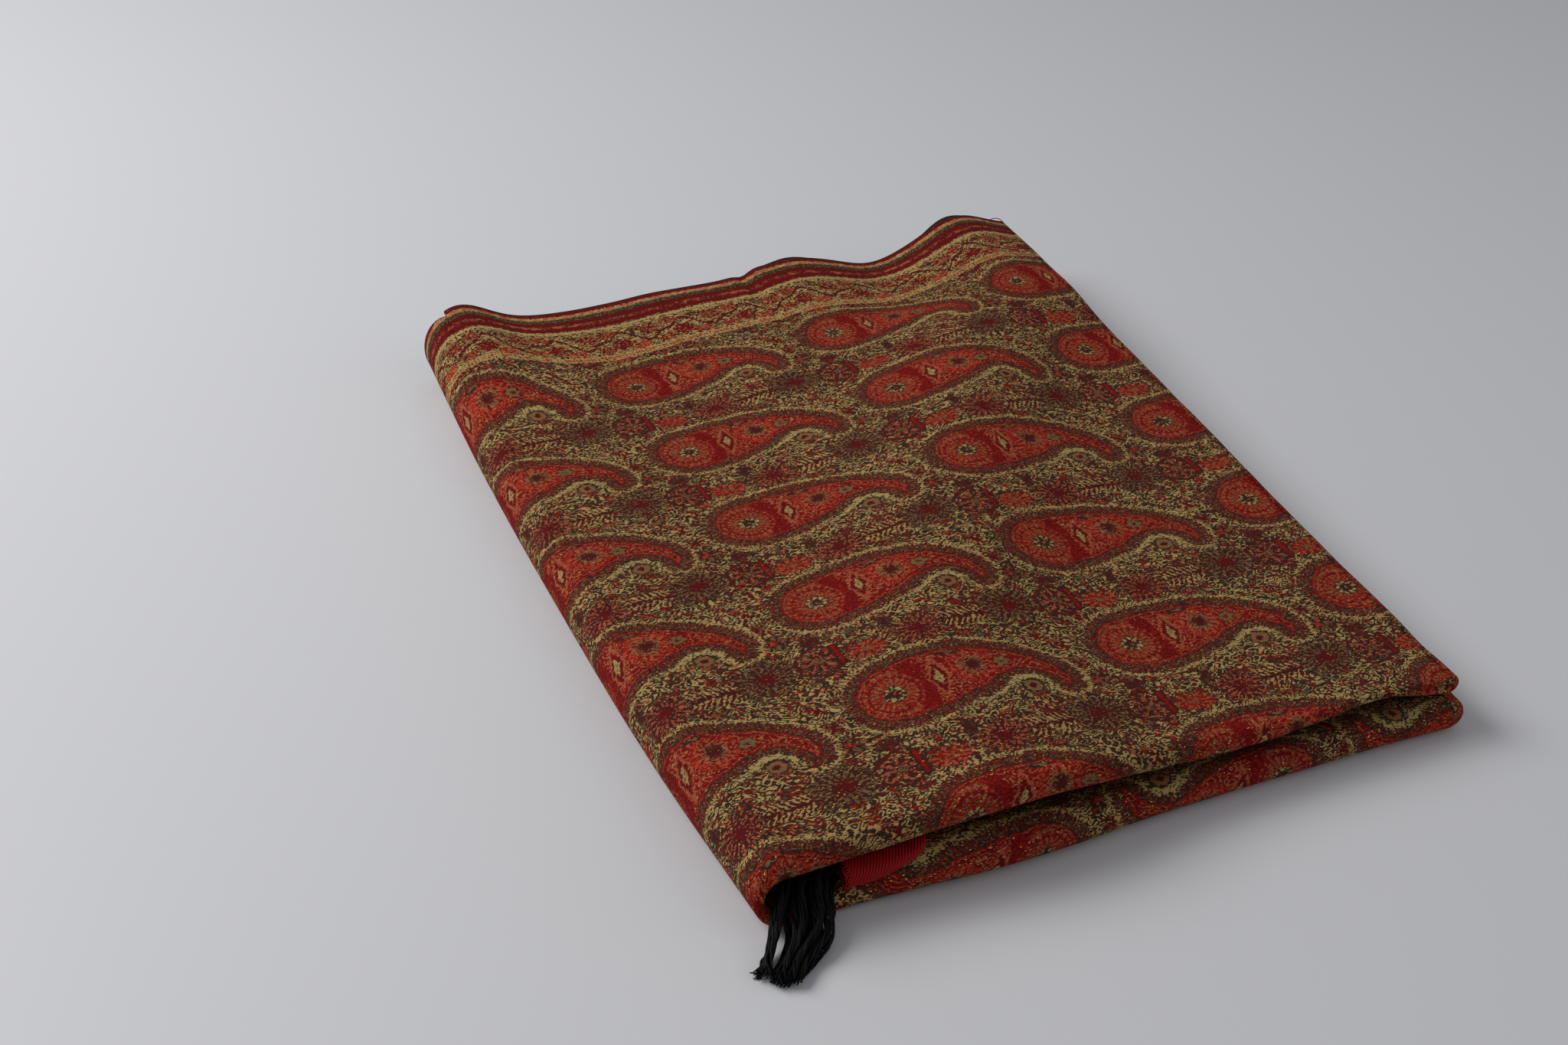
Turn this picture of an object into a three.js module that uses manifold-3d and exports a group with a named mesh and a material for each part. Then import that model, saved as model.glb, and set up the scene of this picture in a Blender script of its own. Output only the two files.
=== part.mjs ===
import * as THREE from 'three';
import Module from 'manifold-3d';
import { mergeVertices } from 'three/addons/utils/BufferGeometryUtils.js';

// A sari of thick jacquard cloth, folded to a flat bundle that lies on a table.
// The cloth is doubled across its width: the near side is a soft rolled lip, the far side is two selvedges.
// The doubled cloth is then turned to and fro along its length into a pile of stretches.
// The outermost one wraps the pile at the left, from the top down to the table.
// At the near left its plain red end and its black fringe come out between the upper and the lower lip.
// Millimetres, +Z up, +X right, +Y towards the selvedges, Z = 0 on the table.

// ---------- driving dimensions ----------

const LOOM_WIDTH = 1100;          // cloth from selvedge to selvedge, doubled to half of this
const PLY = 1.5;                  // one ply of jacquard with its floats
const DOUBLED = 4;                // two plies lying on each other, with the air between them
const SEAM = 0.3;                 // play between two pieces that touch
const FAR = 278;                  // selvedge line of the top ply, before its waves
const LIP_ROLL = 8;               // width of cloth that the roll of the near lip takes up
const NEAR = FAR - LOOM_WIDTH / 2 + LIP_ROLL;
const LIP_RUN = 60;               // how far in from the near lip the plies come together
const LIP_DEPTH = 0.55;           // reach of a lip's roll, as a share of its thickness
const LIP_FULLNESS = 0.8;         // 1 is an oval lip, less is a fuller one
const LEFT_TURN = 17;             // reach of the wrap at the left past the flat top
const SIDE_LIP = 6;               // thickness of the near lip where it goes down round the left side
const LOWER_TURN = 12;            // reach of the lower turn at the right
const SECOND_SINK = 26;           // how far the near lip of the second stretch sinks back on its way left
const LAYERS = 9;                 // doubled layers that show as grooves at the ends of the pile
const LAYER_STEP = 1.8;           // depth of those grooves
const CORE_START = 38;            // from the near lip back to the first hidden layers
const SAG = 0.4;                  // how much of the top's slope across the pile gathers at its middle

// How far the covered selvedges stay back from those of the top stretch.
const BACK = { secondOuter: 3, secondInner: 5, bottomOuter: 6, bottomInner: 12, lowerFold: 4, hidden: 17 };

// Height of the top ply above the table at the four corners of the flat top.
const CORNER = { nearLeft: 42, nearRight: 32, farLeft: 33, farRight: 51 };

// Plan of the pile: where the wrap and the right turn stand, from the near side to the far side.
const SIDES = [
  { y: -270, left: -208, right: 191.5, lowerRight: 200 },
  { y: -140, left: -215, right: 198, lowerRight: 203 },
  { y: 0, left: -216, right: 209, lowerRight: 211 },
  { y: 140, left: -214, right: 219, lowerRight: 219 },
  { y: 290, left: -208, right: 235, lowerRight: 234 },
];

// The near lips from left to right: how far each stands out, and the thickness of each roll.
const LIPS = [
  { x: -215, upperOut: -4, upper: 17, lowerOut: -2, lower: 8 },
  { x: -160, upperOut: -3, upper: 17, lowerOut: 0, lower: 12 },
  { x: -124, upperOut: -1, upper: 17, lowerOut: 5, lower: 22 },
  { x: -86, upperOut: 2, upper: 17, lowerOut: 9, lower: 25 },
  { x: -42, upperOut: 2, upper: 16, lowerOut: 9, lower: 22 },
  { x: 0, upperOut: 0, upper: 15, lowerOut: 7, lower: 20 },
  { x: 62, upperOut: 1, upper: 12, lowerOut: 7, lower: 18 },
  { x: 98, upperOut: 1, upper: 8.5, lowerOut: 8, lower: 18 },
  { x: 142, upperOut: 1, upper: 5.4, lowerOut: 9, lower: 19 },
  { x: 200, upperOut: 5, upper: 5.1, lowerOut: 12, lower: 19.8 },
];

// The far selvedge from left to right: how far the top ply and the ply under it stand out.
const SELVEDGE = [
  { x: -215, top: 14, under: 6 },
  { x: -178, top: 24, under: 16 },
  { x: -120, top: 8, under: 3 },
  { x: -40, top: 6, under: 3 },
  { x: 10, top: 2, under: 6 },
  { x: 55, top: 4, under: 15 },
  { x: 100, top: -2, under: 4 },
  { x: 150, top: -2, under: 4 },
  { x: 190, top: 6, under: 18 },
  { x: 235, top: 4, under: 7 },
];

// Soft swells and hollows of the top, each a line on the plan with its rise and half width.
const SWELLS = {
  diagonal: [
    { x: -72, y: -290, rise: 10, width: 75 },
    { x: -62, y: -150, rise: 13, width: 65 },
    { x: 42, y: 0, rise: 14, width: 60 },
    { x: 100, y: 95, rise: 14, width: 55 },
    { x: 182, y: 178, rise: 8, width: 45 },
    { x: 192, y: 300, rise: 7, width: 26 },
  ],
  farLeftPeak: [
    { x: -181, y: 300, rise: 14, width: 26 },
    { x: -176, y: 190, rise: 2, width: 30 },
  ],
  leftHollow: [
    { x: -100, y: 300, rise: 2, width: 36 },
    { x: -84, y: 190, rise: -7, width: 60 },
    { x: -96, y: 60, rise: -3, width: 50 },
  ],
  farMiddle: [
    { x: 55, y: 300, rise: 5, width: 30 },
    { x: 50, y: 215, rise: 1, width: 34 },
  ],
  farRightHollow: [
    { x: 125, y: 300, rise: -12, width: 30 },
    { x: 104, y: 215, rise: -5, width: 34 },
  ],
  rightEnd: [
    { x: 250, y: 300, rise: -8, width: 30 },
    { x: 240, y: 200, rise: -3, width: 26 },
  ],
  nearRight: [
    { x: 148, y: -290, rise: 3, width: 36 },
    { x: 146, y: -230, rise: 0, width: 40 },
  ],
};

// The plain red end between the lips: its near edge sinks back into the gap towards the right.
const BAND = [
  { x: -162, out: 2 },
  { x: -144, out: 2.5 },
  { x: -132, out: -1 },
  { x: -118, out: -18 },
];
const BAND_STEPS = 8;
const BAND_DEPTH = 34;            // how deep the red end reaches into the gap
const BAND_PLAY = 1;              // its play to the lips above and below it

// Fringe: each cord leaves the strip at the red end, goes out over the lower lip and down on the table.
// The cords lie in two layers, one on the other.
const CORD_RADIUS = 2;
const CORD_STEPS = 16;
const CORD_BEND = { out: 0.55, forward: 0.3 };   // where a cord bends on its way out of the gap
const STRIP_WIDTH = 3;
const CORD_LAYERS = [
  { root: 0.08, out: 15.8, down: 7.6, tip: 2.5 },
  { root: 0.92, out: 21.2, down: 13.2, tip: 7.6 },
];
const CORDS = [
  { layer: 0, rootY: -233, outX: -192.5, downX: -208, downY: -269.5, tipX: -221, tipY: -284 },
  { layer: 0, rootY: -238.5, outX: -187.5, downX: -203, downY: -273, tipX: -216.5, tipY: -289 },
  { layer: 0, rootY: -244, outX: -182, downX: -190, downY: -276, tipX: -212, tipY: -293 },
  { layer: 0, rootY: -249.5, outX: -177, downX: -184, downY: -279.5, tipX: -207, tipY: -296 },
  { layer: 0, rootY: -255, outX: -172, downX: -178.5, downY: -282, tipX: -202, tipY: -299 },
  { layer: 1, rootY: -235, outX: -191.5, downX: -208, downY: -268.5, tipX: -218, tipY: -281 },
  { layer: 1, rootY: -241, outX: -184, downX: -192, downY: -272, tipX: -213, tipY: -285.5 },
  { layer: 1, rootY: -247, outX: -178.5, downX: -186, downY: -275.5, tipX: -208, tipY: -289 },
  { layer: 1, rootY: -253, outX: -173.5, downX: -180.5, downY: -278, tipX: -203, tipY: -292 },
];

// ---------- form ----------

const { lerp, smoothstep } = THREE.MathUtils;

// A column of a table at a place along its first column, on a curve with no corners.
function along(rows, axis, at, column) {
  const last = rows.length - 1;
  if (at <= rows[0][axis]) return rows[0][column];
  if (at >= rows[last][axis]) return rows[last][column];
  const i = rows.findIndex((row, k) => k < last && at < rows[k + 1][axis]);
  const slope = (k) => {
    const a = rows[Math.max(k - 1, 0)];
    const b = rows[Math.min(k + 1, last)];
    return (b[column] - a[column]) / (b[axis] - a[axis]);
  };
  const span = rows[i + 1][axis] - rows[i][axis];
  const t = (at - rows[i][axis]) / span;
  const start = (1 + 2 * t) * (1 - t) ** 2 * rows[i][column] + t * (1 - t) ** 2 * span * slope(i);
  return start + t * t * (3 - 2 * t) * rows[i + 1][column] + t * t * (t - 1) * span * slope(i + 1);
}

// Rise of one swell at a place: full on its line, fading to nothing at both sides of it.
function swell(line, x, y) {
  let best = { distance: Infinity };
  for (let k = 0; k + 1 < line.length; k += 1) {
    const a = line[k];
    const b = line[k + 1];
    const run = (b.x - a.x) ** 2 + (b.y - a.y) ** 2;
    const t = THREE.MathUtils.clamp(((x - a.x) * (b.x - a.x) + (y - a.y) * (b.y - a.y)) / run, 0, 1);
    const distance = Math.hypot(x - lerp(a.x, b.x, t), y - lerp(a.y, b.y, t));
    if (distance < best.distance) {
      best = { distance, rise: lerp(a.rise, b.rise, t), width: lerp(a.width, b.width, t) };
    }
  }
  return best.rise * Math.exp(-((best.distance / best.width) ** 2));
}

const leftSide = (y) => along(SIDES, 'y', y, 'left');
const rightSide = (y) => along(SIDES, 'y', y, 'right');
const upperLip = (x) => NEAR - along(LIPS, 'x', x, 'upperOut');
const lowerLip = (x) => NEAR - along(LIPS, 'x', x, 'lowerOut');
const topSelvedge = (x) => FAR + along(SELVEDGE, 'x', x, 'top');
const underSelvedge = (x) => FAR + along(SELVEDGE, 'x', x, 'under');

// Height of the top ply.
function topHeight(x, y) {
  const across = (x - leftSide(y)) / (rightSide(y) - leftSide(y));
  const u = lerp(across, smoothstep(across, 0, 1), SAG);
  const v = THREE.MathUtils.clamp((y - NEAR) / (FAR - NEAR), 0, 1);
  const nearHeight = lerp(CORNER.nearLeft, CORNER.nearRight, u);
  const farHeight = lerp(CORNER.farLeft, CORNER.farRight, u);
  const rises = Object.values(SWELLS).map((line) => swell(line, x, y));
  return rises.reduce((sum, rise) => sum + rise, lerp(nearHeight, farHeight, v));
}

// Share of the way from the near lip to where the plies have come together.
const inFromLip = (y, near) => smoothstep(y, near + LIP_ROLL, near + LIP_RUN);
const upperThickness = (x, y) => lerp(along(LIPS, 'x', x, 'upper'), DOUBLED, inFromLip(y, upperLip(x)));
const lowerThickness = (x, y) => lerp(along(LIPS, 'x', x, 'lower'), DOUBLED, inFromLip(y, lowerLip(x)));
const upperUnderside = (x, y) => topHeight(x, y) - upperThickness(x, y);
const turnThickness = (y) => upperThickness(rightSide(y), y);
const secondUnderside = (x, y) => upperUnderside(x, y) - 2 * SEAM - turnThickness(y);

// ---------- doubled cloth ----------

// Every piece of the pile has its points on the same lines, so that the pieces follow each other.
const LIP_STEPS = 8;
const CORNER_STEPS = 5;
const LEFT_TURN_STEPS = 10;
const RIGHT_TURN_STEPS = 8;
const COLUMNS = 18;               // from the wrap at the left to the turn at the right
const SECOND_COLUMN = 13;         // the column where the second stretch ends under the top
const ROWS = [20, 40, 62, 100, 150, 205, 260, 315, 370, 425, 475, 515].map((run) => NEAR + run);
const ROWS_FROM_SECOND = ROWS.slice(1);
const ROWS_FROM_CORE = ROWS.slice(2);

// One section of doubled cloth, at one place along its length.
// A stretch gives the outer and the inner face as [x, z] at any y, its near edge and its two selvedges.
// Points run from the outer selvedge to the near lip, round it, and back along the inner face.
function section(stretch, inset) {
  const at = (y, share) => {
    const [outerX, outerZ] = stretch.outer(y);
    const [innerX, innerZ] = stretch.inner(y);
    const thickness = Math.hypot(outerX - innerX, outerZ - innerZ);
    const t = lerp(inset / thickness, 1 - inset / thickness, share);
    return new THREE.Vector3(lerp(outerX, innerX, t), y, lerp(outerZ, innerZ, t));
  };
  const [outerX, outerZ] = stretch.outer(stretch.near);
  const [innerX, innerZ] = stretch.inner(stretch.near);
  const depth = LIP_DEPTH * Math.hypot(outerX - innerX, outerZ - innerZ);
  const start = stretch.near + depth;
  const rows = stretch.rows ?? ROWS;
  const points = [stretch.outerFar, ...rows.toReversed(), start].map((y) => at(y, 0));
  for (let k = 1; k < LIP_STEPS; k += 1) {
    const turn = (Math.PI * k) / LIP_STEPS;
    const out = (depth - inset) * Math.sin(turn) ** LIP_FULLNESS;
    const point = at(start, (1 - Math.cos(turn)) / 2);
    points.push(point.setY(start - out));
  }
  points.push(...[start, ...rows, stretch.innerFar].map((y) => at(y, 1)));
  return points;
}

// A closed body from a face and a back of the same rows and columns of points.
function shell(face, back) {
  const positions = [];
  const quad = (a, b, c, d) => addQuad(positions, a, b, c, d);
  const rows = face.length - 1;
  const columns = face[0].length - 1;
  for (let i = 0; i < rows; i += 1) {
    for (let k = 0; k < columns; k += 1) {
      quad(face[i][k], face[i + 1][k], face[i + 1][k + 1], face[i][k + 1]);
      quad(back[i][k], back[i][k + 1], back[i + 1][k + 1], back[i + 1][k]);
    }
    quad(face[i][0], back[i][0], back[i + 1][0], face[i + 1][0]);
    quad(face[i][columns], face[i + 1][columns], back[i + 1][columns], back[i][columns]);
  }
  for (let k = 0; k < columns; k += 1) {
    quad(face[0][k], face[0][k + 1], back[0][k + 1], back[0][k]);
    quad(face[rows][k], back[rows][k], back[rows][k + 1], face[rows][k + 1]);
  }
  return soup(positions);
}

function addTriangle(positions, a, b, c) {
  if (a.distanceTo(b) > 1e-3 && b.distanceTo(c) > 1e-3 && c.distanceTo(a) > 1e-3) {
    positions.push(...a.toArray(), ...b.toArray(), ...c.toArray());
  }
}

// Four corners as two triangles, split the same way on the plan in every piece of the pile.
function addQuad(positions, a, b, c, d) {
  const falls = (c.x - a.x) * (c.y - a.y) < (d.x - b.x) * (d.y - b.y);
  if (falls) {
    addTriangle(positions, a, b, c);
    addTriangle(positions, a, c, d);
  } else {
    addTriangle(positions, a, b, d);
    addTriangle(positions, b, c, d);
  }
}

// Triangles to an indexed geometry whose neighbours share their points.
function soup(positions) {
  const geometry = new THREE.BufferGeometry();
  geometry.setAttribute('position', new THREE.Float32BufferAttribute(positions, 3));
  const merged = mergeVertices(geometry, 1e-3);
  merged.computeVertexNormals();
  return merged;
}

// Wall of doubled cloth through its sections, one ply thick.
const doubledCloth = (stretches) => shell(
  stretches.map((stretch) => section(stretch, 0)),
  stretches.map((stretch) => section(stretch, PLY)),
);

// Even steps from one value to another, both ends included.
const steps = (from, to, count) => Array.from({ length: count + 1 }, (_, k) => lerp(from, to, k / count));

const colours = { jacquard: 0x6f5a33, turned: 0x7a4a2c, deep: 0x5f4a2e, twill: 0x960a0f, fringe: 0x0c0c0e };

function clothMesh(name, geometry, colour, roughness = 0.85) {
  const material = new THREE.MeshStandardMaterial({ color: colour, roughness, metalness: 0 });
  const mesh = new THREE.Mesh(geometry, material);
  mesh.name = name;
  return mesh;
}

// ---------- top stretch: from the wrap at the left to the turn at the right ----------

const topStart = (y) => leftSide(y) + LEFT_TURN;
const topEnd = (y) => rightSide(y) - turnThickness(y) - SEAM;
const columnX = (column, y) => lerp(topStart(y) + SEAM / 2, topEnd(y) - SEAM / 2, column / COLUMNS);

function topStretch() {
  const sections = steps(COLUMNS, 0, COLUMNS).map((column) => {
    const placeX = (y) => columnX(column, y);
    return {
      near: upperLip(placeX(NEAR)),
      outerFar: topSelvedge(placeX(FAR)),
      innerFar: underSelvedge(placeX(FAR)),
      outer: (y) => [placeX(y), topHeight(placeX(y), y)],
      inner: (y) => [placeX(y), upperUnderside(placeX(y), y)],
    };
  });
  return clothMesh('top_stretch', doubledCloth(sections), colours.jacquard);
}

// ---------- left fold: the outermost stretch turned down round the pile to the table ----------

function leftFold() {
  const sideWall = (y) => lerp(SIDE_LIP, DOUBLED, inFromLip(y, NEAR));
  const sections = steps(90, 270, LEFT_TURN_STEPS).map((degrees) => {
    const turn = THREE.MathUtils.degToRad(degrees);
    const x = topStart(NEAR);
    return {
      near: lerp(lowerLip(x), upperLip(x), (1 + Math.sin(turn)) / 2),
      outerFar: topSelvedge(leftSide(FAR)),
      innerFar: underSelvedge(leftSide(FAR)),
      outer: (y) => {
        const height = topHeight(topStart(y), y);
        return [topStart(y) - SEAM / 2 + LEFT_TURN * Math.cos(turn), (height / 2) * (1 + Math.sin(turn))];
      },
      inner: (y) => {
        const top = upperUnderside(topStart(y), y);
        const bottom = lowerThickness(topStart(y), y);
        const reach = LEFT_TURN - sideWall(y);
        return [topStart(y) - SEAM / 2 + reach * Math.cos(turn), lerp(bottom, top, (1 + Math.sin(turn)) / 2)];
      },
    };
  });
  return clothMesh('left_fold', doubledCloth(sections), colours.turned);
}

// ---------- second stretch: the turn at the right, and the cloth that goes back under the top ----------

function secondStretch() {
  const turned = steps(-90, 90, RIGHT_TURN_STEPS).map((degrees) => {
    const turn = THREE.MathUtils.degToRad(degrees);
    const place = (y, radius) => {
      const axisZ = topHeight(topEnd(y), y) - turnThickness(y) - SEAM;
      return [topEnd(y) + SEAM / 2 + radius * Math.cos(turn), axisZ + radius * Math.sin(turn)];
    };
    return {
      rows: ROWS_FROM_SECOND,
      near: upperLip(topEnd(NEAR)),
      outerFar: topSelvedge(rightSide(FAR)),
      innerFar: underSelvedge(rightSide(FAR)),
      outer: (y) => place(y, turnThickness(y) + SEAM),
      inner: (y) => place(y, SEAM),
    };
  });
  const under = steps(SECOND_COLUMN, COLUMNS - 1, COLUMNS - 1 - SECOND_COLUMN).map((column) => {
    const placeX = (y) => columnX(column, y);
    const sink = smoothstep(COLUMNS - column, 0, COLUMNS - SECOND_COLUMN) * SECOND_SINK;
    return {
      rows: ROWS_FROM_SECOND,
      near: upperLip(placeX(NEAR)) + sink,
      outerFar: topSelvedge(placeX(FAR)) - BACK.secondOuter,
      innerFar: underSelvedge(placeX(FAR)) - BACK.secondInner,
      outer: (y) => [placeX(y), secondUnderside(placeX(y), y)],
      inner: (y) => [placeX(y), upperUnderside(placeX(y), y) - 2 * SEAM],
    };
  });
  return clothMesh('second_stretch', doubledCloth([...under, ...turned]), colours.deep);
}

// ---------- bottom stretch: flat on the table, with the lower lip at the near side ----------

const bottomEnd = (y) => along(SIDES, 'y', y, 'lowerRight') - LOWER_TURN;

function bottomStretch() {
  const sections = steps(0, COLUMNS, COLUMNS).map((column) => {
    const placeX = (y) => Math.min(columnX(column, y), bottomEnd(y) - SEAM / 2);
    return {
      near: lowerLip(placeX(NEAR)),
      outerFar: topSelvedge(placeX(FAR)) - BACK.bottomOuter,
      innerFar: underSelvedge(placeX(FAR)) - BACK.bottomInner,
      outer: (y) => [placeX(y), 0],
      inner: (y) => [placeX(y), lowerThickness(placeX(y), y)],
    };
  });
  return clothMesh('bottom_stretch', doubledCloth(sections), colours.deep);
}

// ---------- lower right fold: the cloth turned up from the table, closed by a round corner ----------

const foldTop = (y) => secondUnderside(bottomEnd(y), y) - 2 * SEAM;

function lowerRightFold() {
  const near = lowerLip(bottomEnd(NEAR));
  const depth = LIP_DEPTH * foldTop(near);
  const ring = (turn, inset) => {
    const place = (y, share) => {
      const half = foldTop(Math.max(y, near + depth)) / 2;
      const x = bottomEnd(y) + SEAM / 2 + (LOWER_TURN - inset) * share * Math.cos(turn);
      return new THREE.Vector3(x, y, half + (half - inset) * share * Math.sin(turn));
    };
    const far = topSelvedge(bottomEnd(FAR)) - BACK.lowerFold;
    const points = [far, ...ROWS_FROM_SECOND.toReversed(), near + depth].map((y) => place(y, 1));
    for (let k = 1; k <= CORNER_STEPS; k += 1) {
      const bend = (Math.PI / 2) * (k / CORNER_STEPS);
      const point = place(near + depth, Math.cos(bend));
      points.push(point.setY(near + depth - (depth - inset) * Math.sin(bend) ** LIP_FULLNESS));
    }
    return points;
  };
  const turns = steps(-Math.PI / 2, Math.PI / 2, RIGHT_TURN_STEPS);
  const faces = turns.map((turn) => ring(turn, 0));
  const backs = turns.map((turn) => ring(turn, PLY));
  return clothMesh('lower_right_fold', shell(faces, backs), colours.turned);
}

// ---------- hidden layers: every stretch that the outer ones cover, grooved at both ends ----------

function hiddenLayers() {
  const clear = 2 * SEAM;
  const roof = (x, y, second) => (second ? secondUnderside(x, y) - SEAM : upperUnderside(x, y)) - clear;
  const floor = (x, y) => lowerThickness(x, y) + clear;
  const ring = (placeX, squeeze, second = false, lowered = 0) => {
    const start = upperLip(placeX(NEAR)) + CORE_START;
    const end = underSelvedge(placeX(FAR)) - BACK.hidden;
    const point = (y, share, groove = 0) => {
      const x = placeX(y);
      const low = floor(x, y);
      const high = roof(x, y, second) - lowered;
      const middle = (low + high) / 2;
      return new THREE.Vector3(x, y + groove, middle + (high - middle) * squeeze * (2 * share - 1));
    };
    const layers = steps(0, 1, 2 * LAYERS).slice(0, -1);
    const depth = (k) => (k % 2 ? LAYER_STEP : 0);
    return [
      ...[start, ...ROWS_FROM_CORE].map((y) => point(y, 0)),
      ...layers.map((share, k) => point(end, share, -depth(k))),
      ...[end, ...ROWS_FROM_CORE.toReversed()].map((y) => point(y, 1)),
      ...layers.map((share, k) => point(start, 1 - share, depth(k))),
    ];
  };
  const leftReach = (y) => LEFT_TURN - lerp(SIDE_LIP, DOUBLED, inFromLip(y, NEAR)) - clear;
  const rightReach = LOWER_TURN - PLY - clear;
  const arch = (reach) => Math.sqrt(1 - reach * reach);
  const rounding = [0.3, 0.65, 0.9];
  const step = 2 * clear;
  const rings = [
    ...rounding.toReversed().map((p) => ring((y) => topStart(y) - leftReach(y) * p, arch(p))),
    ...steps(0, SECOND_COLUMN - 1, SECOND_COLUMN - 1).map((column) => ring((y) => columnX(column, y), 1)),
    ring((y) => columnX(SECOND_COLUMN, y) - 2 * step, 1),
    ring((y) => columnX(SECOND_COLUMN, y) - step, 1, true),
    ...steps(SECOND_COLUMN + 1, COLUMNS - 1, 3).map((column) => ring((y) => columnX(column, y), 1, true)),
    ring((y) => bottomEnd(y) - 2 * step, 1, true),
    ...[0, ...rounding].map((p) => (
      ring((y) => bottomEnd(y) - step + rightReach * p, arch(p), true, PLY + clear)
    )),
  ];
  return clothMesh('hidden_layers', loft(rings, ROWS_FROM_CORE.length + 1, 2 * LAYERS), colours.deep);
}

// A closed body through closed rings of the same points: along the floor, up the far end, back
// under the roof and down the near end. Each end of the body is closed by a strip from floor to roof.
function loft(rings, rows, grooves) {
  const positions = [];
  const count = rings[0].length;
  for (let i = 0; i + 1 < rings.length; i += 1) {
    for (let k = 0; k < count; k += 1) {
      const next = (k + 1) % count;
      addQuad(positions, rings[i][k], rings[i][next], rings[i + 1][next], rings[i + 1][k]);
    }
  }
  const close = (ring, triangle) => {
    const roof = (k) => ring[(2 * rows + grooves - k) % count];
    for (let k = 1; k + 1 < rows; k += 1) {
      triangle(ring[k], roof(k + 1), ring[k + 1]);
      triangle(ring[k], roof(k), roof(k + 1));
    }
    for (const [from, row] of [[rows - 1, rows - 1], [2 * rows + grooves - 1, 1]]) {
      const middle = ring[row].clone().lerp(roof(row), 0.5);
      const rim = steps(from, from + grooves + 2, grooves + 2).map((k) => ring[k % count]);
      for (let k = 0; k < grooves + 2; k += 1) triangle(middle, rim[k + 1], rim[k]);
      triangle(middle, rim[0], rim[grooves + 2]);
    }
  };
  close(rings[0], (a, b, c) => addTriangle(positions, a, b, c));
  close(rings[rings.length - 1], (a, b, c) => addTriangle(positions, a, c, b));
  return soup(positions);
}

// ---------- end band: the plain red twill end, doubled, standing out of the gap ----------

const bandEdge = (x) => NEAR - along(BAND, 'x', x, 'out');
const bandTop = (x, y) => upperUnderside(x, Math.max(y, NEAR)) - BAND_PLAY;
const bandBottom = (x, y) => lowerThickness(x, Math.max(y, NEAR)) + BAND_PLAY;

function bandSection(x) {
  return {
    rows: ROWS.slice(0, 1),
    near: bandEdge(x),
    outerFar: NEAR + BAND_DEPTH,
    innerFar: NEAR + BAND_DEPTH,
    outer: (y) => [x, bandTop(x, y)],
    inner: (y) => [x, bandBottom(x, y)],
  };
}

function endBand() {
  const sections = steps(BAND.at(-1).x, BAND[0].x, BAND_STEPS).map(bandSection);
  return clothMesh('end_band', doubledCloth(sections), colours.twill, 0.6);
}

// ---------- fringe: black cords fused into a narrow strip at the end of the red band ----------

const wasm = await Module();
wasm.setup();

function solid(geometry) {
  const bare = geometry.clone();
  bare.deleteAttribute('normal');
  bare.deleteAttribute('uv');
  const merged = mergeVertices(bare, 1e-4);
  const vertProperties = new Float32Array(merged.attributes.position.array);
  const triVerts = new Uint32Array(merged.index.array);
  return new wasm.Manifold(new wasm.Mesh({ numProp: 3, vertProperties, triVerts }));
}

function fromSolid(body) {
  const mesh = body.getMesh();
  const geometry = new THREE.BufferGeometry();
  geometry.setAttribute('position', new THREE.BufferAttribute(mesh.vertProperties, 3));
  geometry.setIndex(new THREE.BufferAttribute(mesh.triVerts, 1));
  geometry.computeVertexNormals();
  return geometry;
}

function cord(row) {
  const { root, out, down, tip } = CORD_LAYERS[row.layer];
  const stripX = BAND[0].x - SEAM - STRIP_WIDTH / 2;
  const rootZ = lerp(bandBottom(stripX, row.rootY) + PLY / 2, bandTop(stripX, row.rootY) - PLY / 2, root);
  const route = new THREE.CatmullRomCurve3([
    new THREE.Vector3(stripX, row.rootY, rootZ),
    new THREE.Vector3(lerp(stripX, row.outX, CORD_BEND.out), lerp(row.rootY, NEAR, CORD_BEND.forward), out),
    new THREE.Vector3(row.outX, NEAR + 2, out),
    new THREE.Vector3(row.downX, row.downY, down),
    new THREE.Vector3(row.tipX, row.tipY, tip),
  ], false, 'centripetal');
  const outline = new THREE.Shape(steps(0, 3, 3).map((k) => {
    const turn = (Math.PI / 2) * k;
    return new THREE.Vector2(CORD_RADIUS * Math.cos(turn), CORD_RADIUS * Math.sin(turn));
  }));
  return new THREE.ExtrudeGeometry(outline, { extrudePath: route, steps: CORD_STEPS, bevelEnabled: false });
}

function fringe() {
  const stripFrom = BAND[0].x - SEAM - STRIP_WIDTH;
  const strip = doubledCloth([stripFrom + STRIP_WIDTH, stripFrom].map(bandSection));
  let body = solid(strip);
  for (const row of CORDS) body = body.add(solid(cord(row)));
  return clothMesh('fringe', fromSolid(body), colours.fringe, 0.9);
}

// ---------- the whole, with its origin under the middle of its box ----------

const group = new THREE.Group();
group.add(
  topStretch(),
  leftFold(),
  secondStretch(),
  bottomStretch(),
  lowerRightFold(),
  hiddenLayers(),
  endBand(),
  fringe(),
);
const box = new THREE.Box3().setFromObject(group);
group.position.set(-(box.min.x + box.max.x) / 2, -(box.min.y + box.max.y) / 2, 0);

export default group;
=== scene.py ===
import math

import bpy
import numpy as np
from mathutils import Matrix, Vector


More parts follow.
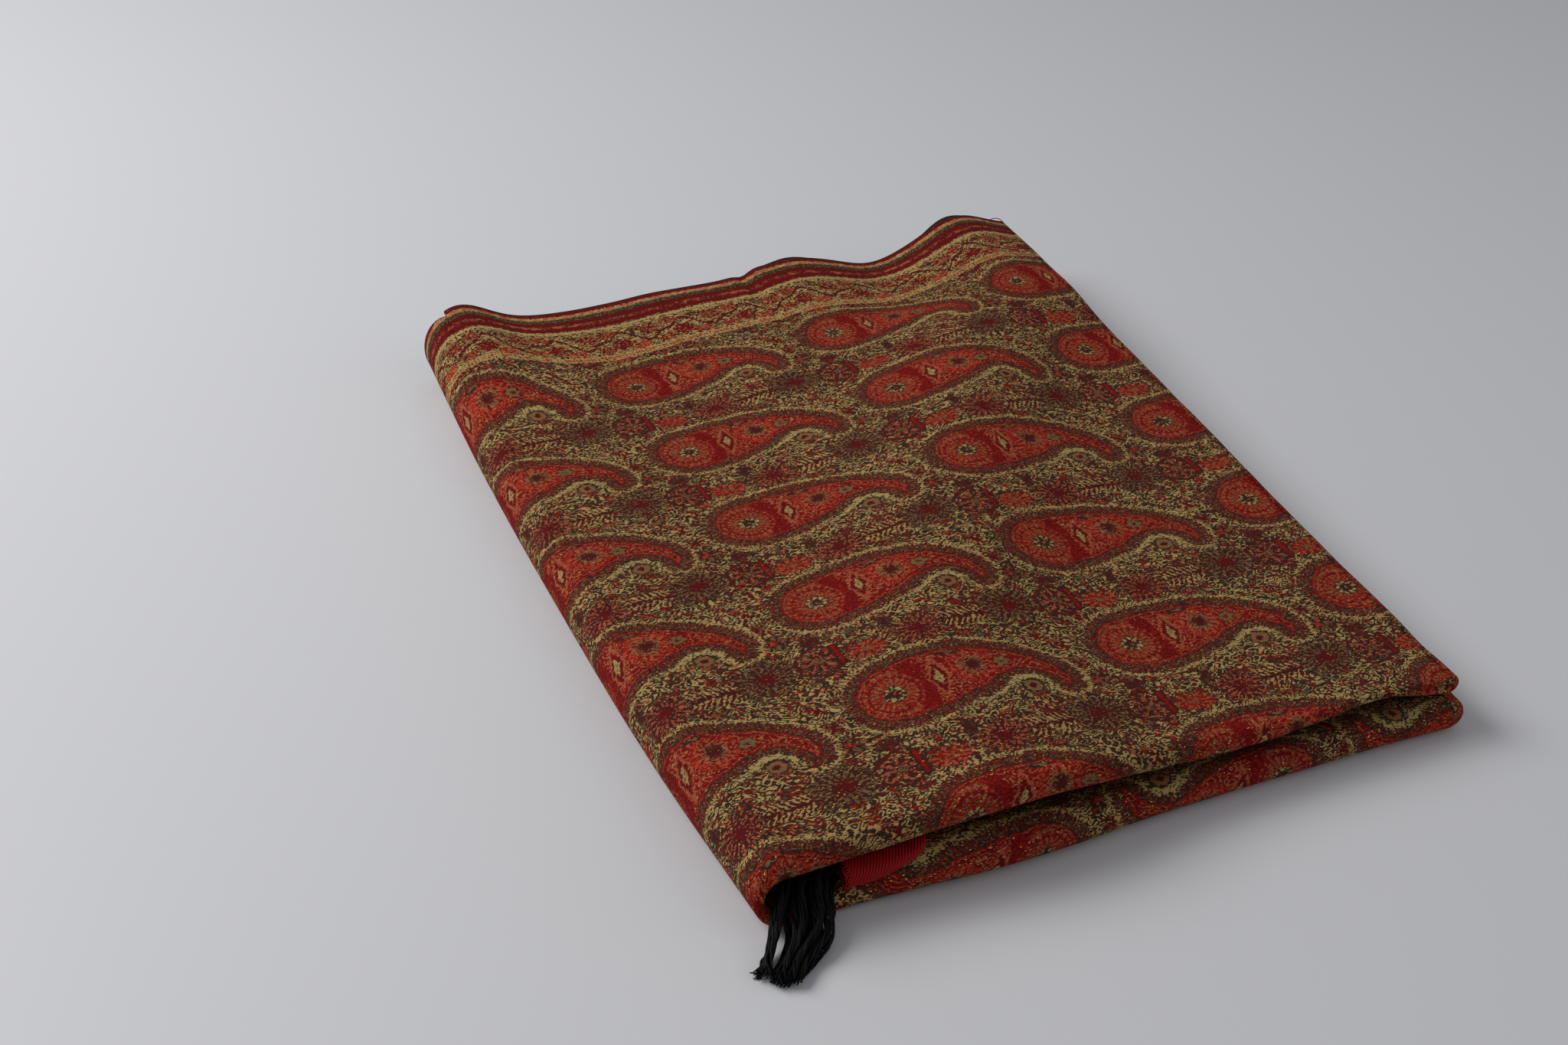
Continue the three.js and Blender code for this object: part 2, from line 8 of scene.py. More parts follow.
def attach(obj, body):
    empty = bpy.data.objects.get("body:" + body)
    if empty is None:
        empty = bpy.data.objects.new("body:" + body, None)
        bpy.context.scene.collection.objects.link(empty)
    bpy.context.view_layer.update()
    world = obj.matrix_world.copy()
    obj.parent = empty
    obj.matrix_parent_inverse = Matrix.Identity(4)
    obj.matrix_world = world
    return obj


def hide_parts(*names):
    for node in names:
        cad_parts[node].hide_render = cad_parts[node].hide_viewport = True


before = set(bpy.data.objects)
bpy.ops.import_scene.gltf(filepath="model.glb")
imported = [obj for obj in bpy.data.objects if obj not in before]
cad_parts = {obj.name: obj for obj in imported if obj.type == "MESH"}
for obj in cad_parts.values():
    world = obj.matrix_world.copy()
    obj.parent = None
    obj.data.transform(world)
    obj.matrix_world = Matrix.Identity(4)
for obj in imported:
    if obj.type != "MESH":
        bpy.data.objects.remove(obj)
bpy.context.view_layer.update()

# ---------- table, light and camera ----------
# The folded cloth lies on a plain pale table top. A wide soft light hangs over the far left,
# and a weak one fills from the near right.


def new_material(name, specular):
    """A material, its node tree and its shader."""
    material = bpy.data.materials.new(name)
    material.use_nodes = True
    shader = material.node_tree.nodes["Principled BSDF"]
    shader.inputs["Specular IOR Level"].default_value = specular
    return material, material.node_tree, shader


SMUDGED = 0.97                    # how dark the smudges are, as a share of the paint's own colour


def plain_paint(name, colour, roughness):
    """Flat paint with faint smudges."""
    material, tree, shader = new_material(name, specular=0.35)
    shader.inputs["Roughness"].default_value = roughness
    smudge = tree.nodes.new("ShaderNodeTexNoise")
    smudge.inputs["Scale"].default_value = 6.0
    smudge.inputs["Detail"].default_value = 5.0
    shade = tree.nodes.new("ShaderNodeMix")
    shade.data_type = "RGBA"
    shade.inputs["A"].default_value = (*[c * SMUDGED for c in colour], 1)
    shade.inputs["B"].default_value = (*colour, 1)
    tree.links.new(smudge.outputs["Fac"], shade.inputs["Factor"])
    tree.links.new(shade.outputs["Result"], shader.inputs["Base Color"])
    return material


TABLE_REACH = 6.0                 # metres from the middle of the table to its edges
table_top = bpy.data.meshes.new("table_top")
table_top.from_pydata(
    [(x * TABLE_REACH, y * TABLE_REACH, 0.0) for x, y in ((-1, -1), (1, -1), (1, 1), (-1, 1))],
    [], [(0, 1, 2, 3)],
)
table_top.materials.append(plain_paint("white_table", (0.78, 0.78, 0.80), 0.45))
table = bpy.data.objects.new("table_top", table_top)
bpy.context.collection.objects.link(table)

world = bpy.data.worlds.new("studio")
bpy.context.scene.world = world
world.use_nodes = True
sky = world.node_tree.nodes["Background"]
sky.inputs["Color"].default_value = (0.93, 0.95, 1.0, 1)
sky.inputs["Strength"].default_value = 0.23
bpy.context.scene.view_settings.view_transform = "Standard"


def soft_light(name, place, size, watts):
    """A square lamp that faces the middle of the table."""
    lamp = bpy.data.lights.new(name, "AREA")
    lamp.energy = watts
    lamp.size = size
    light = bpy.data.objects.new(name, lamp)
    light.location = place
    light.rotation_euler = (-Vector(place)).to_track_quat("-Z", "Y").to_euler()
    bpy.context.collection.objects.link(light)


soft_light("key_light", (-1.5, 1.1, 1.7), size=1.3, watts=40)
soft_light("fill_light", (1.6, -1.4, 1.5), size=2.2, watts=5)

# The eye is 0.63 m above the table, off the near left corner, and looks down over the pile.
PILE_SHIFT = Vector((-5.89, 0.04, 0.0))      # from the pile's own plan to the frame, in mm
MM = 0.001
EYE = (Vector((-454.8, -801.7, 632.4)) + PILE_SHIFT) * MM
YAW, PITCH, ROLL = (math.radians(a) for a in (25.33, 34.13, -1.50))
ahead = Vector((math.sin(YAW) * math.cos(PITCH), math.cos(YAW) * math.cos(PITCH), -math.sin(PITCH)))
level = Vector((math.cos(YAW), -math.sin(YAW), 0.0))
down = ahead.cross(level)
right = level * math.cos(ROLL) + down * math.sin(ROLL)
up = level * math.sin(ROLL) - down * math.cos(ROLL)
lens = bpy.data.cameras.new("camera")
lens.sensor_width = 36.0
lens.lens = 42.47
camera = bpy.data.objects.new("camera", lens)
camera.matrix_world = Matrix.Translation(EYE) @ Matrix((right, up, -ahead)).transposed().to_4x4()
bpy.context.collection.objects.link(camera)
bpy.context.scene.camera = camera

# ---------- the woven cloth ----------
# One jacquard cloth runs through the whole pile: paisleys in rows on a ground of small leaves and
# flowers, and a banded border along both selvedges. It is drawn in mm of flat cloth: the map
# "cloth" gives each point its place along the cloth and across it, in metres.


def dye(hexadecimal):
    """The linear colour of a dyed thread."""
    parts = [int(hexadecimal[k:k + 2], 16) / 255 for k in (0, 2, 4)]
    return (*[((c + 0.055) / 1.055) ** 2.4 if c > 0.04 else c / 12.92 for c in parts], 1.0)


CREAM = dye("bb9c60")
OLIVE = dye("7c643e")
BROWN = dye("5c3929")
CHARCOAL = dye("322920")
MAROON = dye("531b18")
DARK_RED = dye("6c100f")
RED = dye("96190f")
BRIGHT_RED = dye("c03322")
SALMON = dye("ac5a3a")


class Yarn:
    """A number in a node group. Arithmetic on it adds the nodes that work it out."""

    def __init__(self, socket):
        self.socket = socket

    def math(self, operation, *others):
        node = self.socket.id_data.nodes.new("ShaderNodeMath")
        node.operation = operation
        for slot, value in zip(node.inputs, (self, *others)):
            lay(value, slot)
        return Yarn(node.outputs[0])

    def __add__(self, other):
        return self.math("ADD", other)

    def __sub__(self, other):
        return self.math("SUBTRACT", other)

    def __rsub__(self, other):
        node = self.socket.id_data.nodes.new("ShaderNodeMath")
        node.operation = "SUBTRACT"
        lay(other, node.inputs[0])
        lay(self, node.inputs[1])
        return Yarn(node.outputs[0])

    def __mul__(self, other):
        return self.math("MULTIPLY", other)

    def __truediv__(self, other):
        return self.math("DIVIDE", other)

    def __abs__(self):
        return self.math("ABSOLUTE")

    __radd__ = __add__
    __rmul__ = __mul__

    def fade(self, start, end):
        """0 before start, 1 after end, and a soft rise between them."""
        node = self.socket.id_data.nodes.new("ShaderNodeMapRange")
        node.interpolation_type = "SMOOTHSTEP"
        node.clamp = False
        for slot, value in zip(node.inputs, (self, start, end)):
            lay(value, slot)
        return Yarn(node.outputs[0])

    def within(self, low, high, soft=0.25):
        """1 between two limits, 0 outside them."""
        return self.fade(low - soft, low + soft) * (1 - self.fade(high - soft, high + soft))

    def under(self, limit, soft=0.25):
        """1 below a limit, 0 above it."""
        return 1 - self.fade(limit - soft, limit + soft)


def lay(value, slot):
    """Sets an input of a node to a value or to what a yarn brings."""
    if isinstance(value, Yarn):
        slot.id_data.links.new(value.socket, slot)
    else:
        slot.default_value = value


def place(x, y):
    """One place from its two numbers."""
    node = x.socket.id_data.nodes.new("ShaderNodeCombineXYZ")
    lay(x, node.inputs[0])
    lay(y, node.inputs[1])
    return Yarn(node.outputs[0])


def apart(vector):
    """The first two numbers of a place."""
    node = vector.socket.id_data.nodes.new("ShaderNodeSeparateXYZ")
    lay(vector, node.inputs[0])
    return Yarn(node.outputs[0]), Yarn(node.outputs[1])


def in_mm(spot):
    """The first two numbers of a place in metres, in mm."""
    node = spot.socket.id_data.nodes.new("ShaderNodeVectorMath")
    node.operation = "SCALE"
    lay(spot, node.inputs[0])
    lay(1 / MM, node.inputs["Scale"])
    return apart(Yarn(node.outputs[0]))


def dyed(ground, colour, mask):
    """The ground with a colour woven over it where the mask says."""
    node = mask.socket.id_data.nodes.new("ShaderNodeMix")
    node.data_type = "RGBA"
    lay(mask, node.inputs["Factor"])
    lay(ground, node.inputs["A"])
    lay(colour, node.inputs["B"])
    return Yarn(node.outputs["Result"])


class Drawing:
    """Colours laid one over another, and how far they cover what is under them."""

    def __init__(self, colour, cover):
        self.colour = colour
        self.cover = cover

    def draw(self, colour, mask):
        """Covers the ground with a colour where the mask says."""
        self.colour = dyed(self.colour, colour, mask)
        self.cover = mask.math("MAXIMUM", self.cover)

    def tint(self, colour, mask):
        """Changes the colour and covers nothing more."""
        self.colour = dyed(self.colour, colour, mask)

    def give(self, sink):
        lay(self.colour, sink.inputs["Color"])
        lay(self.cover, sink.inputs["Cover"])


def draft(name, takes, gives):
    """A new node group with named inputs and outputs: its inputs as yarns, and its output node."""
    group = bpy.data.node_groups.new(name, "ShaderNodeTree")
    kinds = {"number": "NodeSocketFloat", "place": "NodeSocketVector", "colour": "NodeSocketColor"}
    for way, sockets in (("INPUT", takes), ("OUTPUT", gives)):
        for label, kind in sockets.items():
            group.interface.new_socket(label, in_out=way, socket_type=kinds[kind])
    source = group.nodes.new("NodeGroupInput")
    sink = group.nodes.new("NodeGroupOutput")
    return group, [Yarn(socket) for socket in source.outputs[:-1]], sink


def use(group, **values):
    """Places a group beside what feeds it, and returns its outputs."""
    tree = next(value for value in values.values() if isinstance(value, Yarn)).socket.id_data
    node = tree.nodes.new("ShaderNodeGroup")
    node.node_tree = group
    for label, value in values.items():
        lay(value, node.inputs[label.replace("_", " ")])
    return [Yarn(socket) for socket in node.outputs]


def numbers(names):
    """Number sockets for draft, by their labels."""
    return {name: "number" for name in names.split(", ")}


THREADS = numbers("X, Y, Speck, Patch, Curl")
DRAWN = {"Color": "colour", "Cover": "number"}


def draft_stroke():
    """How far a point is outside a tapered stroke with round ends."""
    group, (x, y, start_x, start_y, run_x, run_y, thick_start, thick_end), sink = draft(
        "Tapered stroke", numbers("X, Y, Start X, Start Y, Run X, Run Y, Start radius, End radius"),
        numbers("Distance"),
    )
    from_x = x - start_x
    from_y = y - start_y
    share = (from_x * run_x + from_y * run_y) / (run_x * run_x + run_y * run_y)
    share = share.math("MAXIMUM", 0.0).math("MINIMUM", 1.0)
    gap_x = from_x - run_x * share
    gap_y = from_y - run_y * share
    gap = (gap_x * gap_x + gap_y * gap_y).math("SQRT")
    lay(gap - thick_start - (thick_end - thick_start) * share, sink.inputs["Distance"])
    return group


def draft_flower():
    """A flower from above: how far out a point is, as a share of its size, and its petals."""
    group, (x, y, middle_x, middle_y, width, height, petals), sink = draft(
        "Flower", numbers("X, Y, Middle X, Middle Y, Width, Height, Petals"), numbers("Reach, Petal"),
    )
    from_x = (x - middle_x) / width
    from_y = (y - middle_y) / height
    lay((from_x * from_x + from_y * from_y).math("SQRT"), sink.inputs["Reach"])
    lay((from_y.math("ARCTAN2", from_x) * petals).math("COSINE"), sink.inputs["Petal"])
    return group


STROKE = draft_stroke()
FLOWER = draft_flower()

PAISLEY_PITCH = (141.0, 90.3)     # mm of cloth from one paisley to the next, along and across
SQUASH = 0.885                    # the loom's fine weft flattens the motifs as they are drawn here
FIRST_HEAD = (42.3, -2.3)         # the middle of one paisley's head flower


def stroke(x, y, rows):
    """The distance to a chain of tapered strokes through rows of (x, y, radius)."""
    nearest = None
    for (x0, y0, r0), (x1, y1, r1) in zip(rows, rows[1:]):
        distance, = use(
            STROKE, X=x, Y=y, Start_X=x0, Start_Y=y0, Run_X=x1 - x0, Run_Y=y1 - y0,
            Start_radius=r0, End_radius=r1,
        )
        nearest = distance if nearest is None else nearest.math("SMOOTH_MIN", distance, 2.0)
    return nearest


def flower(x, y, middle, size, petals):
    """Reach and petal of one flower: reach is 1 at its rim, and petal swings from -1 to 1 round it."""
    return use(
        FLOWER, X=x, Y=y, Middle_X=middle[0], Middle_Y=middle[1], Width=size[0], Height=size[1], Petals=petals
    )


def grain(x, y, size, detail=2.0):
    """Soft random shades of about that size in mm."""
    node = x.socket.id_data.nodes.new("ShaderNodeTexNoise")
    node.noise_dimensions = "2D"
    lay(place(x, y), node.inputs["Vector"])
    node.inputs["Scale"].default_value = 1 / size
    node.inputs["Detail"].default_value = detail
    return Yarn(node.outputs["Fac"])


def leaves(x, y, size, feature="F1"):
    """Random cells of about that size in mm: a random number for each, or the gap between them."""
    node = x.socket.id_data.nodes.new("ShaderNodeTexVoronoi")
    node.voronoi_dimensions = "2D"
    node.feature = feature
    lay(place(x, y), node.inputs["Vector"])
    node.inputs["Scale"].default_value = 1 / size
    if feature == "F1":
        return apart(Yarn(node.outputs["Color"]))[0]
    return Yarn(node.outputs["Distance"])


def chosen(number, rows):
    """One colour out of several: each has the share of the range 0 to 1 that its row gives."""
    node = number.socket.id_data.nodes.new("ShaderNodeValToRGB")
    node.color_ramp.interpolation = "CONSTANT"
    marks = node.color_ramp.elements
    start = 0.0
    for k, (share, colour) in enumerate(rows):
        mark = marks[k] if k < 2 else marks.new(start)
        mark.position = start
        mark.color = colour
        start += share
    lay(number, node.inputs[0])
    return Yarn(node.outputs[0])


def repeat(value, pitch, low):
    """A place along one direction brought back into one repeat, which starts at low."""
    return (value - low).math("FLOORED_MODULO", pitch) + low


# A paisley, from the middle of its head flower: the round head, the shoulder, and the thin tail that
# curls down. Then the pale hook in its curl.
PAISLEY_SPINE = [
    (4, 0.5, 22.5), (20, 2, 22), (39, 4, 18.5), (54, 5, 12.5), (67, 4, 7.8), (78, -1.5, 5.2), (86, -9, 3.8),
    (90, -17, 2.4), (90, -24, 0.8),
]
PAISLEY_HOOK = [
    (40, -26, 0.8), (50, -22.5, 1.4), (58, -17.5, 2.0), (64.5, -13.5, 2.5), (73, -14, 2.4), (79, -20, 1.8),
    (77, -26.5, 0.8),
]
TICK = 1.7                        # mm from one short tick of a halo to the next


def draft_paisley():
    """One paisley with its halo of short ticks, its pale contour and the pale hook in its curl."""
    group, (x, y, speck, patch, curl), sink = draft("Paisley", THREADS, DRAWN)
    outside = stroke(x, y, PAISLEY_SPINE)

    # The ticks fan out round the head and round the bend of the tail, and stand upright between them.
    head_turn = (4 - x).math("ARCTAN2", abs(y)).math("MAXIMUM", 0.0)
    tail_turn = (x - 66).math("ARCTAN2", y + 12).math("MAXIMUM", 0.0)
    fan = x.math("MAXIMUM", 4.0).math("MINIMUM", 66.0) - head_turn * 27 + tail_turn * 22
    tick = (fan * (2 * math.pi / TICK) + patch * 6).math("SINE")

    # Pale contour, broken in places and missing at the back of the head, then the halo.
    jagged = outside + tick * 0.9 + speck * 5.0
    behind_head = x.under(-17, 3) * y.within(-14, 22, 4)
    thread = tick * 0.45 + curl * 0.25 + speck * 2.4
    cloth = Drawing(CREAM, jagged.within(7.8, 10.0) * (curl - behind_head * 2).fade(-0.85, -0.65))
    in_halo = jagged.under(7.8)
    cloth.draw(BROWN, in_halo)
    cloth.tint(OLIVE, in_halo * thread.fade(0.30, 0.45))
    cloth.tint(MAROON, in_halo * thread.under(0.0, 0.1))
    cloth.tint(CHARCOAL, in_halo * (thread + patch * 2.4).under(0.75, 0.1))
    cloth.tint(RED, in_halo * speck.fade(0.06, 0.09))
    cloth.tint(CREAM, in_halo * (thread + outside * 0.06).fade(1.05, 1.15))

    # Hook in the curl, and the small flower that it holds.
    hook = stroke(x, y, PAISLEY_HOOK) + speck * 2.4 + tick * 0.5
    cloth.draw(CHARCOAL, hook.under(0.8))
    cloth.tint(CREAM, hook.under(-0.1) * curl.fade(-0.9, -0.6))
    reach, petal = flower(x, y, (68.5, -21.5), (5.4, 5.4), 7)
    reach = reach + speck * 0.3
    cloth.draw(CHARCOAL, reach.under(1.2, 0.08))
    cloth.tint(OLIVE, reach.under(0.92, 0.06))
    cloth.tint(SALMON, (reach - petal * 0.2).within(0.35, 0.78, 0.06) * curl.fade(-0.2, 0.1))
    cloth.tint(MAROON, reach.under(0.4, 0.06))

    # Body: red, with salmon and olive threads in small scrolls.
    body = Drawing(RED, outside.under(1.0))
    body.tint(MAROON, (curl + speck).fade(0.1, 0.3))
    body.tint(SALMON, (curl + speck).fade(0.42, 0.57))
    body.tint(CREAM, (curl + speck * 2).fade(1.15, 1.3))
    body.tint(DARK_RED, curl.under(-0.45, 0.15) * 0.7)

    # Head flower: a dotted rosette, rings of long looped petals, and a plain crescent on its right.
    reach, petal = flower(x, y, (0, 0), (19, 21), 24)
    ray = petal * 0.8 + curl * 0.3 + speck * 2.0
    in_petals = reach.within(0.34, 0.94, 0.03)
    body.tint(RED, reach.under(0.98, 0.03))
    body.tint(SALMON, in_petals * ray.fade(0.2, 0.4))
    body.tint(MAROON, in_petals * abs(ray - 0.05).under(0.14, 0.08))
    body.tint(BRIGHT_RED, in_petals * ray.under(-0.5, 0.1) * 0.25)
    body.tint(OLIVE, (reach + petal * 0.05).within(0.34, 0.66, 0.04) * ray.fade(0.45, 0.65))
    body.tint(OLIVE, (reach - petal * 0.04).within(0.84, 0.93, 0.02) * speck.fade(-0.1, 0.1))
    body.tint(DARK_RED, reach.within(0.66, 0.72, 0.02))
    crescent = reach.within(0.80, 1.32, 0.04) * x.fade(7, 10) * (x + abs(y) * 0.16).under(21.5, 0.5)
    body.tint(RED, crescent)
    body.tint(DARK_RED, crescent * curl.under(0.4))
    rosette, bead = flower(x, y, (0, 0), (6.2, 6.6), 9)
    rosette = rosette + speck * 0.25
    body.tint(CHARCOAL, (rosette - bead * 0.08).under(1.0, 0.08))
    body.tint(CREAM, (rosette - bead * 0.2).within(0.5, 0.80, 0.06) * bead.fade(-0.5, -0.1))
    body.tint(MAROON, rosette.under(0.42, 0.05))
    body.tint(OLIVE, rosette.under(0.15, 0.05))

    # Pale leaf between the flowers, with salmon scrolls on either side of it.
    leaf = abs(x - 25.5 - y * 0.12) / 3.4 + abs(y - 2) / 10 + speck * 0.7
    body.tint(DARK_RED, leaf.under(1.35, 0.1))
    body.tint(SALMON, leaf.within(1.5, 1.85, 0.1))
    body.tint(CREAM, leaf.under(0.68, 0.1))
    body.tint(OLIVE, leaf.under(0.5, 0.1) * (speck + curl * 0.1).fade(-0.08, 0.02))

    # Second flower: dark dotted heart, mixed petals, and a plain red ring.
    reach, petal = flower(x, y, (46, 5), (13.5, 14.5), 15)
    reach = reach + speck * 0.15
    body.tint(BRIGHT_RED, reach.within(0.72, 1.0, 0.04) * (0.4 - speck + curl * 0.3))
    body.tint(SALMON, reach.within(0.52, 0.80, 0.04) * (petal + curl * 0.5 + speck * 2).fade(0.4, 0.6))
    body.tint(OLIVE, reach.within(0.34, 0.52, 0.04) * (petal + speck * 3).fade(0.0, 0.25))
    body.tint(CHARCOAL, reach.under(0.34, 0.04) * (petal + speck * 4).fade(-0.4, -0.1))
    body.tint(MAROON, reach.under(0.2, 0.04))

    # Small flower at the shoulder, and a dark lens under the upper edge.
    reach, petal = flower(x, y, (62.5, 3.5), (4.8, 4.2), 6)
    reach = reach + speck * 0.4
    body.tint(DARK_RED, reach.under(1.15, 0.1))
    body.tint(OLIVE, (reach - petal * 0.15).within(0.3, 0.9, 0.08))
    reach, petal = flower(x, y, (40, 19.5), (6.5, 2.3), 2)
    body.tint(CHARCOAL, reach.under(1.05, 0.1))
    body.tint(OLIVE, reach.under(0.55, 0.1))

    # Edge of the body: a salmon thread, a red one, and a dark one outside them.
    body.tint(DARK_RED, (outside + speck * 0.8).within(-2.6, -1.6, 0.2))
    body.tint(SALMON, outside.within(-1.6, -0.9, 0.2) * (tick + speck).fade(-0.6, 0.2))
    body.tint(RED, outside.within(-0.9, 0.2))
    body.tint(CHARCOAL, outside.fade(0.1, 0.35))
    cloth.draw(body.colour, body.cover)
    cloth.give(sink)
    return group


def draft_sprigs():
    """The small things between the rows of paisleys: a framed bud, flowers, a starburst and a branch."""
    group, (x, y, speck, patch, curl), sink = draft("Sprigs", THREADS, DRAWN)

    # Branch with short leaves on both sides.
    off_branch = abs(y + 54.5 + (patch - 0.5) * 3)
    comb = (x * (2 * math.pi / 3.3) + off_branch * 1.1).math("SINE") + speck * 2.2
    on_branch = x.within(47, 88, 2.0)
    cloth = Drawing(MAROON, on_branch * (off_branch + speck * 5).under(8.5, 0.8) * comb.fade(0.15, 0.35))
    cloth.draw(CREAM, on_branch * (off_branch + speck * 4).within(1.6, 8.0, 0.4) * comb.under(-0.55, 0.15))
    cloth.draw(MAROON, on_branch * (off_branch + speck).under(0.9))

    for middle, size, petals, fill, vein, heart in (
        ((-50, -52), (17, 14), 21, MAROON, OLIVE, DARK_RED),
        ((34.5, -55.5), (13.5, 13), 17, MAROON, SALMON, DARK_RED),
        ((4, -58), (11.5, 7.5), 11, RED, SALMON, OLIVE),
        ((-21, -54), (9.5, 10), 8, MAROON, SALMON, OLIVE),
        ((-35, -24), (7.5, 7.0), 5, MAROON, OLIVE, BRIGHT_RED),
        ((21, -41), (3.4, 6.0), 3, MAROON, BROWN, CHARCOAL),
        ((56, -70), (6.0, 3.4), 5, DARK_RED, OLIVE, SALMON),
        ((-18, -34), (6.5, 4.0), 4, MAROON, BROWN, DARK_RED),
        ((-48, -26), (4.0, 5.0), 5, MAROON, CREAM, DARK_RED),
        ((-38, 10), (3.4, 6.0), 4, DARK_RED, CREAM, MAROON),
        ((-37, -8), (4.5, 5.0), 4, DARK_RED, OLIVE, MAROON),
    ):
        reach, petal = flower(x, y, middle, size, petals)
        edge = reach - petal * 0.14 + speck * 1.5
        vein_line = petal * 0.6 + curl * 0.5 + speck * 2
        cloth.draw(CHARCOAL, edge.under(1.04, 0.06))
        cloth.tint(fill, edge.under(0.94, 0.05))
        cloth.tint(vein, edge.within(0.30, 0.92, 0.05) * vein_line.fade(0.15, 0.35))
        cloth.tint(CHARCOAL, edge.within(0.34, 0.86, 0.05) * vein_line.under(-0.7, 0.1))
        cloth.tint(heart, (reach + speck * 1.5).under(0.28, 0.06) * curl.fade(-0.6, -0.3))

    # Frame round the bud, and the upright bar beside it.
    reach, corner = flower(x, y, (-21, -54), (11.5, 12.5), 6)
    frame_edge = reach + corner * 0.05 + speck * 0.12
    cloth.draw(CHARCOAL, frame_edge.within(0.94, 1.12, 0.03))
    cloth.tint(DARK_RED, frame_edge.within(0.99, 1.07, 0.03))
    bar = stroke(x, y, [(-10.5, -45, 1.9), (-10.5, -62, 1.9)])
    cloth.draw(CHARCOAL, bar.under(0.6))
    cloth.tint(DARK_RED, bar.under(-0.4))
    cloth.tint(RED, bar.under(-1.1))
    cloth.give(sink)
    return group


LEAF = 2.6                        # mm, one small leaf of the ground


def draft_field():
    """The ground of small leaves, streaked along the cloth."""
    group, (x, y, _, patch, curl), sink = draft("Leafy ground", THREADS, {"Color": "colour"})
    bent_x = x * 0.74 + patch * 9
    bent_y = y + x * 0.2 + (x * 0.3 + patch * 8).math("SINE") * 2.0
    cell = leaves(bent_x, bent_y, LEAF)
    gap = leaves(bent_x, bent_y, LEAF, "DISTANCE_TO_EDGE")
    pale = chosen(cell, [(0.56, CREAM), (0.14, OLIVE), (0.14, SALMON), (0.16, RED)])
    dark = chosen(gap * 1.6, [(0.25, CHARCOAL), (0.25, BROWN), (0.25, MAROON), (0.25, DARK_RED)])
    lift = curl + gap * 1.6 - 0.55
    colour = dyed(dark, CHARCOAL, abs(lift + 0.16).under(0.18, 0.1))
    colour = dyed(colour, pale, lift.fade(-0.12, 0.06))
    lay(colour, sink.inputs["Color"])
    return group


SELVEDGE_LINE = 283.0             # mm across the cloth, where its selvedge is
MIDDLE_LINE = -268.0              # where the cloth is doubled
VINE_PITCH = 44.0                 # mm of selvedge from one bend of the vine to the next like it


def draft_border():
    """The bands along the selvedge, with a vine on the widest of them."""
    group, (along, inward, speck, patch, curl), sink = draft(
        "Border", numbers("Along, Inward, Speck, Patch, Curl"), DRAWN
    )

    # Vine: a zigzag stem, with flowers in its bends, on pale curls.
    x = repeat(along, VINE_PITCH, -VINE_PITCH / 2)
    stem = abs(inward - 38.5 - abs(x) * (17 / 22) + (x * (math.pi / 11)).math("SINE") * 2)
    band = Drawing(CREAM, inward.within(31, 64) * curl.fade(-0.15, 0.1))
    band.draw(MAROON, (stem + speck * 2 + curl * 0.7).under(1.8, 0.3) * inward.within(33, 62))
    band.tint(DARK_RED, inward.within(33, 62) * (curl + patch).under(-0.2, 0.1))
    for middle, size, petals, shade, heart in (
        ((21.9, 42.5), (7.0, 6.0), 7, DARK_RED, SALMON),
        ((-21.9, 42.5), (7.0, 6.0), 7, DARK_RED, SALMON),
        ((0, 53), (7.0, 6.0), 7, DARK_RED, RED),
        ((-8, 38.5), (6, 4.0), 6, SALMON, RED),
        ((12, 58.5), (6.5, 3.8), 6, SALMON, BRIGHT_RED),
        ((-13, 57.5), (6, 4.0), 6, SALMON, RED),
        ((12, 37.5), (4.5, 3), 5, MAROON, OLIVE),
    ):
        reach, petal = flower(x, inward, middle, size, petals)
        edge = reach - petal * 0.16 + speck * 1.5
        in_flower = edge.under(1.0, 0.06)
        band.draw(MAROON, in_flower)
        band.tint(shade, in_flower * curl.fade(-0.5, -0.3))
        band.tint(heart, in_flower * (petal * 0.5 + curl).fade(0.3, 0.5))
        band.tint(CREAM, in_flower * (curl + speck * 2).fade(0.95, 1.1))

    # Stitched band inside the vine, and the plain and ticked bands out to the edge thread.
    hatch = (along * (2 * math.pi / 1.5) + speck * 4).math("SINE")
    stitch = (along * (2 * math.pi / 2.4)).math("SINE").fade(0.1, 0.4)
    band.draw(CREAM, (inward + speck).within(63.0, 68.6))
    band.tint(SALMON, inward.within(64.8, 66.8) * (patch + speck - 0.5).fade(-0.1, 0.0))
    band.tint(DARK_RED, stitch * (inward.within(63.9, 65.1, 0.2) + inward.within(66.6, 67.8, 0.2)))
    band.draw(CREAM, (inward + speck * 1.5 + hatch * 0.3).within(28.6, 31.2))
    band.tint(CHARCOAL, (inward + hatch * 0.4).within(27.6, 28.8))
    band.draw(DARK_RED, inward.under(27.6))
    band.tint(OLIVE, inward.within(19.0, 22.5) * (speck + hatch * 0.06).fade(0.06, 0.12))
    band.tint(SALMON, inward.within(19.0, 22.5) * (patch - speck - 0.5).fade(0.06, 0.12))
    band.tint(CHARCOAL, inward.under(14.0))
    band.tint(OLIVE, inward.within(9.8, 13.6) * (hatch + speck * 2).fade(0.35, 0.7))
    band.tint(CREAM, (inward + speck * 2).under(9.2))
    band.tint(SALMON, inward.within(5.2, 9.0) * (patch + speck * 2 - 0.5).fade(-0.08, 0.0))
    band.tint(DARK_RED, (inward + speck * 2).under(5.2))
    band.tint(CHARCOAL, (inward + patch * 2 + speck * 2).under(2.4))
    band.give(sink)
    return group


